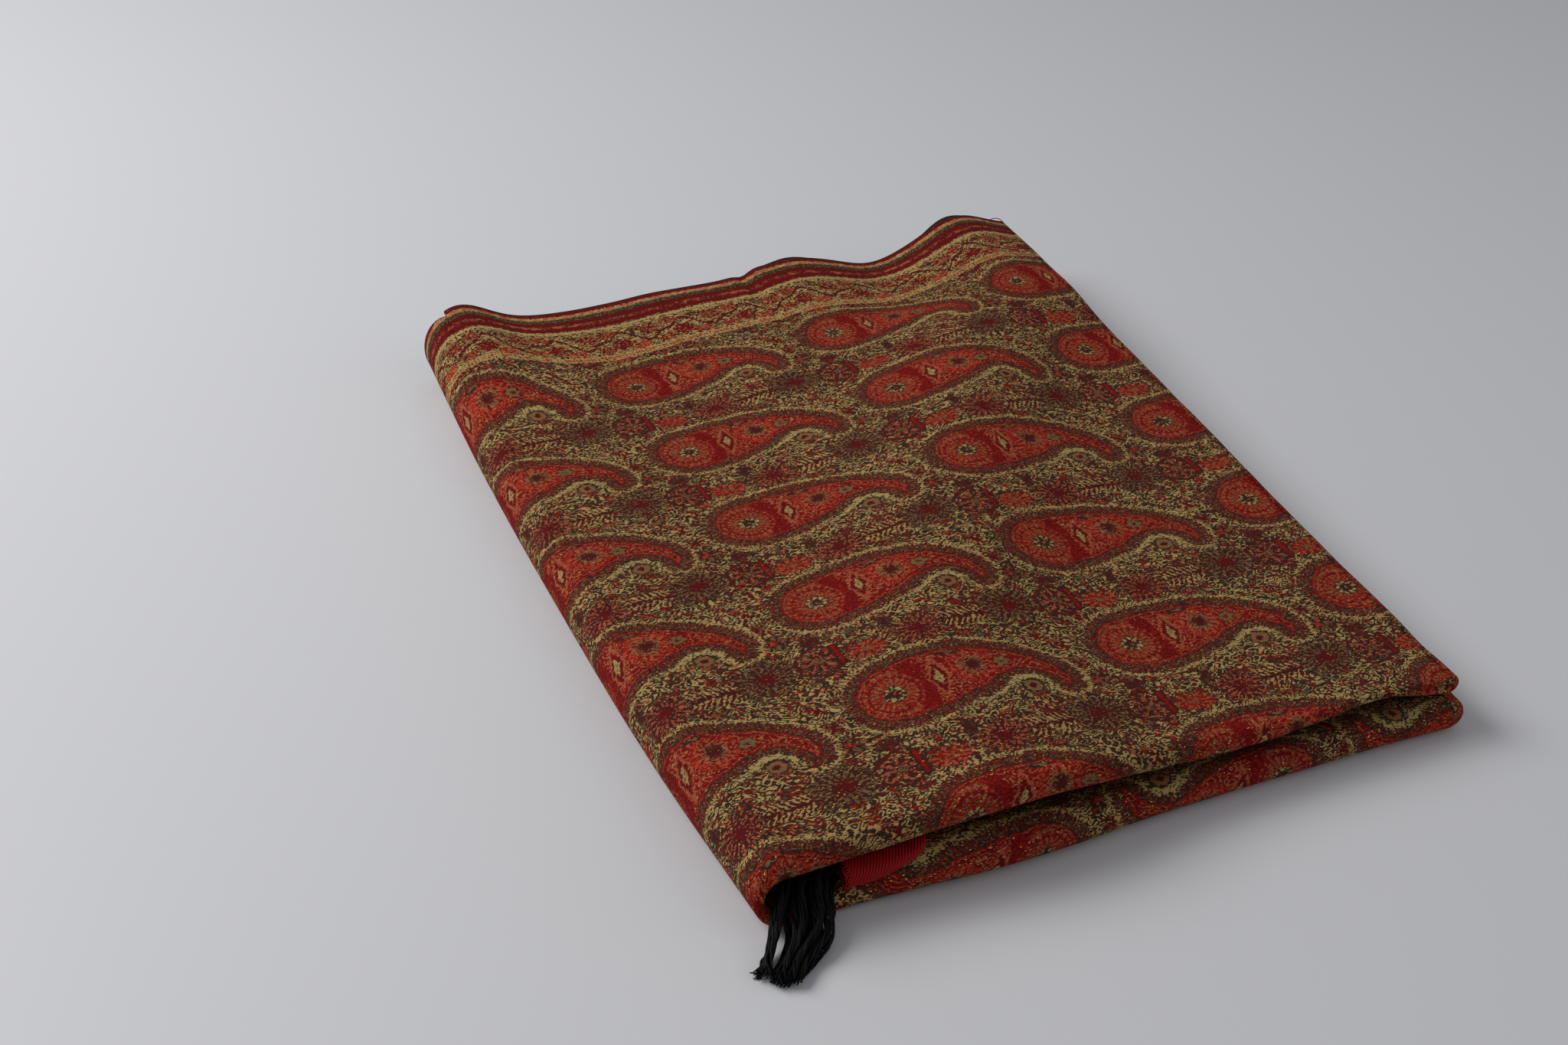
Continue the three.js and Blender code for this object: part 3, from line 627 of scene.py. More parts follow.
def draft_weave():
    """Floats of weft, brick fashion: each has one colour and one height, and is a little uneven."""
    group, (x, y, length, height), sink = draft(
        "Weave", numbers("X, Y, Float length, Float height"), numbers("Picked X, Picked Y, Height, Shade")
    )
    row = (y / height).math("FLOOR")
    shift = (row * 0.5).math("FRACT") + (row * 0.37).math("SINE") * 0.2
    column = (x / length + shift).math("FLOOR")
    lay((column - shift + 0.5) * length, sink.inputs["Picked X"])
    lay((row + 0.5) * height, sink.inputs["Picked Y"])
    lift_x = ((x / length + shift).math("FRACT") * math.pi).math("SINE")
    lift_y = ((y / height).math("FRACT") * math.pi).math("SINE")
    random = group.nodes.new("ShaderNodeTexWhiteNoise")
    random.noise_dimensions = "2D"
    lay(place(column, row), random.inputs["Vector"])
    shade = Yarn(random.outputs["Value"])
    lay(lift_x.math("POWER", 0.6) * lift_y * (shade * 0.5 + 0.6), sink.inputs["Height"])
    lay(shade, sink.inputs["Shade"])
    return group


PAISLEY = draft_paisley()
SPRIGS = draft_sprigs()
FIELD = draft_field()
BORDER = draft_border()
WEAVE = draft_weave()

FLOAT = (0.92, 0.50)              # mm, one float of weft: its length and its height
STRAY = 3.6                       # how far the drawing strays from its lines as it is woven, in mm
STRAY_SIZE = 2.4                  # mm from one such stray to the next
CURL_SIZE = 4.0                   # mm over which the curling threads of the ground turn
SPRIGS_FROM = (-67.0, -80.0)      # where one repeat starts, from the middle of a head flower
PAISLEY_FROM = (-33.0, -48.0)
FIELD_EDGE = (68.2, 68.6)         # mm from the selvedge, where the border ends and the field starts
GOLD = dye("e0b860")


def draft_jacquard():
    """The whole cloth at a place on it: its colour, its metal thread, its relief and its roughness."""
    group, (spot, gold), sink = draft(
        "Jacquard", {"Cloth": "place", "Gold": "number"},
        {"Color": "colour", "Metal": "number", "Height": "number", "Roughness": "number"},
    )
    x, y = in_mm(spot)
    picked_x, picked_y, relief, shade = use(WEAVE, X=x, Y=y, Float_length=FLOAT[0], Float_height=FLOAT[1])
    woven_x = picked_x + (grain(picked_x, picked_y, STRAY_SIZE) - 0.5) * STRAY
    woven_y = picked_y + (grain(picked_x + 9, picked_y + 5, STRAY_SIZE) - 0.5) * STRAY
    curl = (grain(picked_x * 0.75, picked_y, CURL_SIZE, 0.3) * (2 * math.pi * 4)).math("SINE")
    speck = (grain(picked_x, picked_y, 1.1) - 0.5) * 0.65
    mixed = dict(Speck=speck, Patch=grain(picked_x, picked_y, 5.0), Curl=curl + speck)
    inward = (SELVEDGE_LINE - MIDDLE_LINE) - abs(woven_y - MIDDLE_LINE)
    band, on_band = use(BORDER, Along=woven_x, Inward=inward, **mixed)
    drawn_x = woven_x - FIRST_HEAD[0]
    drawn_y = (woven_y - FIRST_HEAD[1]) / SQUASH

    def in_repeat(low):
        return dict(
            X=repeat(drawn_x, PAISLEY_PITCH[0], low[0]),
            Y=repeat(drawn_y, PAISLEY_PITCH[1] / SQUASH, low[1]),
            **mixed,
        )

    sprigs, on_sprigs = use(SPRIGS, **in_repeat(SPRIGS_FROM))
    in_paisley = in_repeat(PAISLEY_FROM)
    paisley, on_paisley = use(PAISLEY, **in_paisley)
    in_field = inward.fade(*FIELD_EDGE)
    colour, = use(FIELD, **in_paisley)
    colour = dyed(colour, sprigs, on_sprigs * in_field)
    colour = dyed(colour, paisley, on_paisley * in_field)
    colour = dyed(colour, band, on_band)
    metal = shade.fade(0.990, 0.994) * gold
    colour = dyed(colour, GOLD, metal)
    # Each float has a random tone of its own, plus painted shade that darkens it towards its ends, where it
    # dips under its neighbours.
    tone_and_float_shade = group.nodes.new("ShaderNodeHueSaturation")
    lay(colour, tone_and_float_shade.inputs["Color"])
    lay(0.78 + shade * 0.3 + relief * 0.18, tone_and_float_shade.inputs["Value"])
    lay(Yarn(tone_and_float_shade.outputs[0]), sink.inputs["Color"])
    lay(metal, sink.inputs["Metal"])
    lay(relief + curl * 0.35, sink.inputs["Height"])
    lay(0.86 - metal * 0.6, sink.inputs["Roughness"])
    return group


JACQUARD = draft_jacquard()


def on_cloth(tree):
    """The place on flat cloth, from the map that every piece of cloth has."""
    cloth = tree.nodes.new("ShaderNodeUVMap")
    cloth.uv_map = "cloth"
    return Yarn(cloth.outputs[0])


def raised(shader, height, strength, distance):
    """Threads that stand up from the cloth by a height, with a distance in metres for a height of 1."""
    bump = shader.id_data.nodes.new("ShaderNodeBump")
    bump.inputs["Strength"].default_value = strength
    bump.inputs["Distance"].default_value = distance
    lay(height, bump.inputs["Height"])
    lay(Yarn(bump.outputs[0]), shader.inputs["Normal"])


def jacquard(name):
    """Jacquard cloth as a material: matt, with a few metal threads."""
    material, tree, shader = new_material(name, specular=0.1)
    gold = tree.nodes.new("ShaderNodeAttribute")
    gold.attribute_name = "gold"
    colour, metal, height, roughness = use(JACQUARD, Cloth=on_cloth(tree), Gold=Yarn(gold.outputs["Fac"]))
    lay(colour, shader.inputs["Base Color"])
    lay(metal, shader.inputs["Metallic"])
    lay(roughness, shader.inputs["Roughness"])
    raised(shader, height, strength=0.5, distance=0.0004)
    return material


# ---------- top stretch ----------
# The outermost stretch of the cloth, doubled across its width: a rolled lip at the near side, two
# selvedges at the far side, and soft swells where the layers under it are folded unevenly.

LOOM_WIDTH = 1100.0
PLY = 1.5                         # one ply of jacquard, in mm as all sizes of the pile
DOUBLED = 4.0                     # two plies and the air between them
SEAM = 0.3                        # air between one layer and the next
JOIN = 0.01                       # between two pieces of the same stretch
FAR = 278.0                       # where the selvedges lie, before their waves
LIP_ROLL = 8.0
NEAR = FAR - LOOM_WIDTH / 2 + LIP_ROLL
LIP_RUN = 60.0                    # from a lip's edge to where the cloth is flat again
LIP_DEPTH = 0.55                  # how far a lip rounds, as a share of its thickness
LIP_FULLNESS = 0.8                # 1 is a half circle, and less is blunter
LEFT_TURN = 17.0
SAG = 0.4                         # 0 is a straight run from the left edge to the right, 1 an S
CORNER = {"near_left": 42.0, "near_right": 32.0, "far_left": 33.0, "far_right": 51.0}


def table_of(names, *rows):
    """A table with named columns."""
    return dict(zip(names.split(), np.array(rows, float).T))


SIDES = table_of(
    "y left right lower_right",
    (-270, -208, 191.5, 197.5),
    (-140, -215, 198, 203),
    (0, -216, 209, 211),
    (140, -214, 219, 219),
    (290, -208, 235, 234),
)
LIPS = table_of(
    "x upper_out upper lower_out lower",
    (-215, -4, 17, -2, 8),
    (-160, -3, 17, 0, 12),
    (-124, -1, 17, 5, 22),
    (-86, 2, 17, 9, 25),
    (-42, 2, 16, 9, 22),
    (0, 0, 15, 7, 20),
    (62, 1, 12, 7, 18),
    (98, 1, 8.5, 8, 18),
    (142, 1, 5.4, 9, 18.6),
    (200, 5, 5.1, 12, 17.6),
)
SELVEDGES = table_of(
    "x top under",
    (-215, 14, 6),
    (-178, 24, 16),
    (-120, 8, 3),
    (-40, 6, 3),
    (10, 2, 6),
    (55, 4, 15),
    (100, -2, 4),
    (150, -2, 4),
    (190, 6, 18),
    (235, 4, 7),
)

# Swells of the top, each a ridge or a hollow along a chain of places.
SWELLS = [table_of("x y rise width", *chain) for chain in (
    [(-72, -290, 10, 75), (-62, -150, 13, 65), (42, 0, 14, 60), (100, 95, 14, 55), (182, 178, 8, 45),
     (192, 300, 7, 26)],
    [(-181, 300, 14, 26), (-176, 190, 2, 30)],
    [(-100, 300, 2, 36), (-84, 190, -7, 60), (-96, 60, -3, 50)],
    [(55, 300, 5, 30), (50, 215, 1, 34)],
    [(125, 300, -12, 30), (104, 215, -5, 34)],
    [(250, 300, -8, 30), (240, 200, -3, 26)],
    [(148, -290, 3, 36), (146, -230, 0, 40)],
)]

# Creases and soft troughs pressed into the top: each runs between two places, deepest at the first.
CREASES = table_of(
    "x0 y0 x1 y1 rise width",
    (19, 288, 17, 205, -2.6, 5.5),
    (17, 210, 15, 40, -0.5, 5),
    (31, 286, 27, 215, 1.1, 8),
    (-120, 262, -60, 240, 0.9, 11),
    (-186, -150, -176, 60, 0.7, 12),
    (150, -246, 60, -225, 0.8, 10),
    (188, -236, 120, -120, -0.8, 12),
    (-40, -235, -130, -150, 0.7, 16),
    (60, 150, 150, 215, 0.8, 12),
    (-150, 130, -90, 60, -0.7, 18),
)


def smooth(value, start, end):
    """0 before start, 1 after end, and a soft rise between them."""
    share = np.clip((value - start) / (end - start), 0, 1)
    return share * share * (3 - 2 * share)


def mix(a, b, share):
    """A number between two others: a where the share is 0, b where it is 1."""
    return a + (b - a) * share


def along(rows, at, column):
    """A column of a table at places along its first column, on a curve with no corners."""
    stations, values = rows[next(iter(rows))], rows[column]
    last = len(stations) - 1
    at = np.clip(at, stations[0], stations[last])
    k = np.clip(np.searchsorted(stations, at, side="right") - 1, 0, last - 1)
    before, after = np.maximum(np.arange(last + 1) - 1, 0), np.minimum(np.arange(last + 1) + 1, last)
    slope = (values[after] - values[before]) / (stations[after] - stations[before])
    span = stations[k + 1] - stations[k]
    t = (at - stations[k]) / span
    start = (1 + 2 * t) * (1 - t) ** 2 * values[k] + t * (1 - t) ** 2 * span * slope[k]
    return start + t * t * (3 - 2 * t) * values[k + 1] + t * t * (t - 1) * span * slope[k + 1]


def off_line(x, y, x0, y0, x1, y1):
    """Share of the way along a line, and the distance from it."""
    run = (x1 - x0) ** 2 + (y1 - y0) ** 2
    t = np.clip(((x - x0) * (x1 - x0) + (y - y0) * (y1 - y0)) / run, 0, 1)
    return t, np.hypot(x - mix(x0, x1, t), y - mix(y0, y1, t))


def swell(line, x, y):
    """Height of one ridge or hollow at a place."""
    nearest = np.full(np.broadcast(x, y).shape, np.inf)
    rise, width = np.zeros_like(nearest), np.ones_like(nearest)
    for k in range(len(line["x"]) - 1):
        t, gap = off_line(x, y, line["x"][k], line["y"][k], line["x"][k + 1], line["y"][k + 1])
        closer = gap < nearest
        nearest = np.where(closer, gap, nearest)
        rise = np.where(closer, mix(line["rise"][k], line["rise"][k + 1], t), rise)
        width = np.where(closer, mix(line["width"][k], line["width"][k + 1], t), width)
    return rise * np.exp(-((nearest / width) ** 2))


def creases(x, y):
    """Height of all the creases at a place."""
    total = 0.0
    for x0, y0, x1, y1, rise, width in zip(*CREASES.values()):
        t, gap = off_line(x, y, x0, y0, x1, y1)
        total = total + rise * (1 - t) * np.exp(-((gap / width) ** 2))
    return total


def soft_waves(x, y):
    """Small unevenness of thick cloth that has been folded and pressed."""
    drift = np.sin(x / 17 + 2.1 * np.sin(y / 41)) * np.sin(y / 23 + 1.7 * np.sin(x / 37))
    return 0.35 * drift + 0.18 * np.sin(x / 7.3 + y / 19) * np.sin(y / 9.1 - x / 31)


def left_side(y):
    return along(SIDES, y, "left")


def right_side(y):
    return along(SIDES, y, "right")


def upper_lip(x):
    return NEAR - along(LIPS, x, "upper_out")


def lower_lip(x):
    return NEAR - along(LIPS, x, "lower_out")


def top_selvedge(x):
    return FAR + along(SELVEDGES, x, "top")


def under_selvedge(x):
    return FAR + along(SELVEDGES, x, "under")


def top_height(x, y):
    """The upper face of the pile: four corner heights, with swells, creases and waves."""
    across = np.clip((x - left_side(y)) / (right_side(y) - left_side(y)), 0, 1)
    u = mix(across, smooth(across, 0, 1), SAG)
    v = np.clip((y - NEAR) / (FAR - NEAR), 0, 1)
    near = mix(CORNER["near_left"], CORNER["near_right"], u)
    far = mix(CORNER["far_left"], CORNER["far_right"], u)
    return mix(near, far, v) + sum(swell(line, x, y) for line in SWELLS) + creases(x, y) + soft_waves(x, y)


def in_from_lip(y, near):
    """0 at a near lip, and 1 where the cloth behind it is flat."""
    return smooth(y, near + LIP_ROLL, near + LIP_RUN)


def upper_thickness(x, y):
    return mix(along(LIPS, x, "upper"), DOUBLED, in_from_lip(y, upper_lip(x)))


def lower_thickness(x, y):
    return mix(along(LIPS, x, "lower"), DOUBLED, in_from_lip(y, lower_lip(x)))


def upper_underside(x, y):
    return top_height(x, y) - upper_thickness(x, y)


def turn_thickness(y):
    return upper_thickness(right_side(y), y)


def second_underside(x, y):
    return upper_underside(x, y) - 2 * SEAM - turn_thickness(y)


def top_start(y):
    return left_side(y) + LEFT_TURN


def top_end(y):
    return right_side(y) - turn_thickness(y) - SEAM


def column_x(share, y):
    """A place across the pile, between the turns at its two sides."""
    return mix(top_start(y) + JOIN, top_end(y) - JOIN, share)


def crowded(count, share_crowded):
    """Shares from 0 to 1 that come closer together towards 1."""
    share = np.linspace(0, 1, count)
    return mix(share, 1 - (1 - share) ** 2, share_crowded)


OUTER_ROWS = crowded(150, 0.35)   # from the selvedge to the lip
INNER_ROWS = 1 - OUTER_ROWS[::3]
LIP_STEPS = 24
COLUMNS = 128


def doubled_section(outer, inner, near, outer_far, inner_far, inset):
    """Sections of doubled cloth, and how far each of their points lies across the cloth.

    outer and inner give x and z of the two faces at any y, and near is the edge of the lip. Points
    run from the outer selvedge to the lip, round it, and back to the inner selvedge.
    """
    near, outer_far, inner_far = (np.reshape(a, (-1, 1)) for a in (near, outer_far, inner_far))

    def at(y, share):
        outer_x, outer_z = outer(y)
        inner_x, inner_z = inner(y)
        thickness = np.hypot(outer_x - inner_x, outer_z - inner_z)
        t = mix(inset / thickness, 1 - inset / thickness, share)
        return np.stack([mix(outer_x, inner_x, t), y + 0 * t, mix(outer_z, inner_z, t)], -1)

    outer_x, outer_z = outer(near)
    inner_x, inner_z = inner(near)
    depth = LIP_DEPTH * np.hypot(outer_x - inner_x, outer_z - inner_z)
    start = near + depth
    turn = np.pi * np.arange(1, LIP_STEPS) / LIP_STEPS
    lip = at(start + 0 * turn, (1 - np.cos(turn)) / 2)
    lip[..., 1] = start - (depth - inset) * np.sin(turn) ** LIP_FULLNESS
    outer_y = mix(outer_far, start, OUTER_ROWS)
    inner_y = mix(inner_far, start, INNER_ROWS)
    points = np.concatenate([at(outer_y, 0), lip, at(inner_y, 1)], axis=1)
    steps = np.linalg.norm(np.diff(points[:, len(OUTER_ROWS) - 1:], axis=1), axis=-1)
    beyond = start - np.cumsum(steps, axis=1)
    return points, np.concatenate([outer_y + 0 * start, beyond], axis=1)


FOLLOWS_WAVE = (150, 225)         # mm across, between which the cloth starts to follow its selvedge


def straightened(x, y):
    """Place across the cloth: the border follows the wavy selvedge and the field does not."""
    wave = top_selvedge(x) - SELVEDGE_LINE
    return y - wave * smooth(y, *FOLLOWS_WAVE)


def quads(a, b, c, d):
    return np.stack([a, b, c, d], -1).reshape(-1, 4)


def cloth_mesh(name, points, faces, flat_place, material, gold=0.0):
    """A piece of cloth from points in mm, with its map of flat cloth in metres and its metal threads."""
    mesh = bpy.data.meshes.new(name)
    mesh.from_pydata(((points + np.array(PILE_SHIFT)) * MM).tolist(), [], faces)
    corners = np.empty(len(mesh.loops), dtype=np.int32)
    mesh.loops.foreach_get("vertex_index", corners)
    mesh.uv_layers.new(name="cloth").data.foreach_set("uv", (flat_place * MM)[corners].ravel())
    threads = mesh.attributes.new("gold", "FLOAT", "POINT")
    threads.data.foreach_set("value", np.broadcast_to(gold, len(points)).ravel())
    mesh.shade_smooth()
    mesh.materials.append(material)
    piece = bpy.data.objects.new(name, mesh)
    bpy.context.collection.objects.link(piece)
    return piece


def cloth_shell(name, face, back, cloth_u, cloth_v, material, gold):
    """A closed shell of cloth between two grids of points."""
    rows, columns = face.shape[:2]
    index = np.arange(rows * columns).reshape(rows, columns)
    behind = index + rows * columns
    faces = np.concatenate([
        quads(index[:-1, :-1], index[1:, :-1], index[1:, 1:], index[:-1, 1:]),
        quads(behind[:-1, :-1], behind[:-1, 1:], behind[1:, 1:], behind[1:, :-1]),
        quads(index[:-1, 0], behind[:-1, 0], behind[1:, 0], index[1:, 0]),
        quads(index[:-1, -1], index[1:, -1], behind[1:, -1], behind[:-1, -1]),
        quads(index[0, :-1], index[0, 1:], behind[0, 1:], behind[0, :-1]),
        quads(index[-1, :-1], behind[-1, :-1], behind[-1, 1:], index[-1, 1:]),
    ])
    points = np.concatenate([face.reshape(-1, 3), back.reshape(-1, 3)])
    flat_place = np.tile(np.stack([cloth_u.ravel(), cloth_v.ravel()], -1), (2, 1))
    threads = np.tile(np.broadcast_to(gold, (rows, columns)).ravel(), 2)
    return cloth_mesh(name, points, faces.tolist(), flat_place, material, threads)


PLAIN_GOLD = 0.25                 # share of the metal threads that show away from the lip, where all do


def doubled_cloth(name, stretch, u, material):
    """A shell of doubled cloth, one ply thick."""
    face, v = doubled_section(**stretch, inset=0)
    back, _ = doubled_section(**stretch, inset=PLY)
    cloth_u = u(face[..., 0], face[..., 1])
    cloth_v = np.where(v > MIDDLE_LINE, straightened(face[..., 0], v), v)
    near_lip = 1 - smooth(np.abs(v - MIDDLE_LINE), 20, 120)
    return cloth_shell(name, face, back, cloth_u, cloth_v, material, mix(PLAIN_GOLD, 1, near_lip))


def top_x(y):
    return column_x(np.linspace(1, 0, COLUMNS).reshape(-1, 1), y)


top = doubled_cloth(
    "top_of_the_pile",
    dict(
        outer=lambda y: (top_x(y), top_height(top_x(y), y)),
        inner=lambda y: (top_x(y), upper_underside(top_x(y), y)),
        near=upper_lip(top_x(NEAR)),
        outer_far=top_selvedge(top_x(FAR)),
        inner_far=under_selvedge(top_x(FAR)),
    ),
    lambda x, y: x,
    jacquard("jacquard_top"),
)
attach(top, "root")
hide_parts("top_stretch")

# ---------- left fold ----------
# The same stretch where it turns down round the left side of the pile, from the top to the table.

SIDE_LIP = 6.0                    # thickness of the lip half way down the side
left_degrees = np.linspace(90, 270, 40).reshape(-1, 1)
left_turn = np.radians(left_degrees)
left_rise = (1 + np.sin(left_turn)) / 2


def left_arc(y):
    """Length of cloth that goes round the left side."""
    return np.pi * np.sqrt((LEFT_TURN ** 2 + (top_height(top_start(y), y) / 2) ** 2) / 2)


def left_outer(y):
    return top_start(y) - JOIN + LEFT_TURN * np.cos(left_turn), top_height(top_start(y), y) * left_rise


def left_inner(y):
    reach = LEFT_TURN - mix(SIDE_LIP, DOUBLED, in_from_lip(y, NEAR))
    low, high = lower_thickness(top_start(y), y), upper_underside(top_start(y), y)
    return top_start(y) - JOIN + reach * np.cos(left_turn), mix(low, high, left_rise)


lip_x = top_start(NEAR)
left_fold = doubled_cloth(
    "left_turn",
    dict(
        outer=left_outer,
        inner=left_inner,
        near=mix(lower_lip(lip_x), upper_lip(lip_x), left_rise),
        outer_far=top_selvedge(left_side(FAR)) + 0 * left_rise,
        inner_far=under_selvedge(left_side(FAR)) + 0 * left_rise,
    ),
    lambda x, y: top_start(y) - left_arc(y) * (left_degrees - 90) / 180,
    jacquard("jacquard_left"),
)
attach(left_fold, "root")
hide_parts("left_fold")

# ---------- second stretch ----------
# The turn at the upper right, and the cloth that goes back to the left under the top.

SECOND_START = 13 / 18            # how far across the pile the second stretch starts
SECOND_SINK = 26.0                # how far its lip lies behind the top's lip there
SECOND_BACK = (3, 5)              # how far its selvedges lie behind those of the top
right_degrees = np.linspace(-90, 90, 32).reshape(-1, 1)
under_share = np.linspace(SECOND_START, 1, 30)[:-1].reshape(-1, 1)


def turned_right(radius, y):
    """Points round the turn at the right, at a radius from its axis."""
    turn = np.radians(right_degrees)
    axis = top_height(top_end(y), y) - turn_thickness(y) - SEAM
    return top_end(y) + JOIN + radius * np.cos(turn), axis + radius * np.sin(turn)


def second_outer(y):
    flat_x = column_x(under_share, y[:len(under_share)])
    turned_y = y[len(under_share):]
    turned_x, turned_z = turned_right(turn_thickness(turned_y) + SEAM, turned_y)
    flat_z = second_underside(flat_x, y[:len(under_share)])
    return np.concatenate([flat_x, turned_x]), np.concatenate([flat_z, turned_z])


def second_inner(y):
    flat_x = column_x(under_share, y[:len(under_share)])
    turned_x, turned_z = turned_right(SEAM, y[len(under_share):])
    flat_z = upper_underside(flat_x, y[:len(under_share)]) - 2 * SEAM
    return np.concatenate([flat_x, turned_x]), np.concatenate([flat_z, turned_z])


def second_u(x, y):
    """Place along the cloth, which runs on from the top round the turn."""
    arc = np.pi * (turn_thickness(y) + SEAM)
    flat = top_end(y) + arc + (top_end(y) - x)
    degrees = np.concatenate([np.full_like(under_share, -90.0), right_degrees])
    turned = top_end(y) + arc * (90 - degrees) / 180
    return np.where(degrees > -90, turned, flat)


near_x = np.concatenate([column_x(under_share, NEAR), 0 * right_degrees + top_end(NEAR)])
far_x = np.concatenate([column_x(under_share, FAR), 0 * right_degrees + right_side(FAR)])
is_flat = np.arange(len(near_x)).reshape(-1, 1) < len(under_share)
sink = np.concatenate([smooth(1 - under_share, 0, 1 - SECOND_START) * SECOND_SINK, 0 * right_degrees])
second = doubled_cloth(
    "right_turn_and_second_stretch",
    dict(
        outer=second_outer,
        inner=second_inner,
        near=upper_lip(near_x) + sink,
        outer_far=top_selvedge(far_x) - is_flat * SECOND_BACK[0],
        inner_far=under_selvedge(far_x) - is_flat * SECOND_BACK[1],
    ),
    second_u,
    jacquard("jacquard_second"),
)
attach(second, "root")
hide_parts("second_stretch")

# ---------- bottom stretch ----------
# The cloth that lies on the table, flat underneath, with the fat lower lip at the near side.

LOWER_TURN = 12.0
BOTTOM_BACK = (6, 12)             # how far its selvedges lie behind those of the top


def bottom_end(y):
    return along(SIDES, y, "lower_right") - LOWER_TURN


def bottom_u(x, y):
    """Place along the cloth, which runs on from the top round the left side."""
    return 2 * top_start(y) - left_arc(y) - x


def bottom_x(y):
    return mix(top_start(y) + JOIN, bottom_end(y) - JOIN, np.linspace(0, 1, COLUMNS).reshape(-1, 1))


bottom = doubled_cloth(
    "bottom_of_the_pile",
    dict(
        outer=lambda y: (bottom_x(y), 0 * bottom_x(y)),
        inner=lambda y: (bottom_x(y), lower_thickness(bottom_x(y), y)),
        near=lower_lip(bottom_x(NEAR)),
        outer_far=top_selvedge(bottom_x(FAR)) - BOTTOM_BACK[0],
        inner_far=under_selvedge(bottom_x(FAR)) - BOTTOM_BACK[1],
    ),
    bottom_u,
    jacquard("jacquard_bottom"),
)
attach(bottom, "root")
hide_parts("bottom_stretch")

# ---------- lower right fold ----------
# The cloth turned up from the table at the right; its near end is closed by the rounded lip.

FOLD_RUN = 36.0                   # from its lip to where the fold fills the height under the second stretch
FOLD_BACK = 4                     # how far its far end lies behind the top's selvedge
FOLD_GOLD = 0.6                   # share of its metal threads that show


def fold_top(y):
    near = lower_lip(bottom_end(y))
    full = second_underside(bottom_end(y), y) - 2 * SEAM
    return mix(along(LIPS, bottom_end(y), "lower"), full, smooth(y, near + LIP_ROLL, near + FOLD_RUN))


fold_turn = np.radians(np.linspace(-90, 90, 32)).reshape(-1, 1)
fold_near = lower_lip(bottom_end(NEAR))
fold_depth = LIP_DEPTH * fold_top(fold_near)


def fold_points(inset):
    """The face of the fold, or its back at one ply in: rows along it, then its rounded end."""
    def at(y, share):
        half = fold_top(np.maximum(y, fold_near + fold_depth)) / 2
        x = bottom_end(y) + JOIN + (LOWER_TURN - inset) * share * np.cos(fold_turn)
        return np.stack([x, y + 0 * x, half + (half - inset) * share * np.sin(fold_turn)], -1)

    far = top_selvedge(bottom_end(FAR)) - FOLD_BACK
    body = at(mix(far, fold_near + fold_depth, OUTER_ROWS).reshape(1, -1), 1.0)
    bend = np.pi / 2 * np.arange(1, LIP_STEPS + 1) / LIP_STEPS
    lip = at(np.full((1, LIP_STEPS), fold_near + fold_depth), np.cos(bend))
    lip[..., 1] = fold_near + fold_depth - (fold_depth - inset) * np.sin(bend) ** LIP_FULLNESS
    return np.concatenate([body, lip], axis=1)


face, back = fold_points(0), fold_points(PLY)
fold_v = face[..., 1].copy()
steps = np.linalg.norm(np.diff(face[:, len(OUTER_ROWS) - 1:], axis=1), axis=-1)
fold_v[:, len(OUTER_ROWS):] = fold_v[:, [len(OUTER_ROWS) - 1]] - np.cumsum(steps, axis=1)
fold_arc = np.pi * (LOWER_TURN + fold_top(face[..., 1]) / 2) / 2
fold_u = bottom_u(bottom_end(face[..., 1]), face[..., 1]) - fold_arc * (fold_turn / np.pi + 0.5)
lower_fold = cloth_shell(
    "lower_right_turn", face, back, fold_u, straightened(face[..., 0], fold_v),
    jacquard("jacquard_lower_right"), FOLD_GOLD,
)
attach(lower_fold, "root")
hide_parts("lower_right_fold")

# ---------- hidden layers ----------
# Nine more doubled stretches lie between the outer ones. Their selvedges show at the far side as a
# stack of thin uneven edges, and their folded lips at the back of the near gap.

LAYERS = 9
CORE_START = 38.0                 # how far their lips lie behind the lip of the top
CORE_BACK = 17.0                  # how far their selvedges lie behind those of the top
NOSE = 2.2                        # how far the edge of one ply stands out
EDGE_STEPS = 4                    # points over the nose of one ply
RAGGED = {"far": 2.2, "near": 1.5}      # how far the plies lie out of line with each other


def core_roof(x, y, is_under_second):
    """How high the hidden layers may reach."""
    second_roof = second_underside(x, y) - SEAM
    return np.where(is_under_second, second_roof, upper_underside(x, y)) - 2 * SEAM


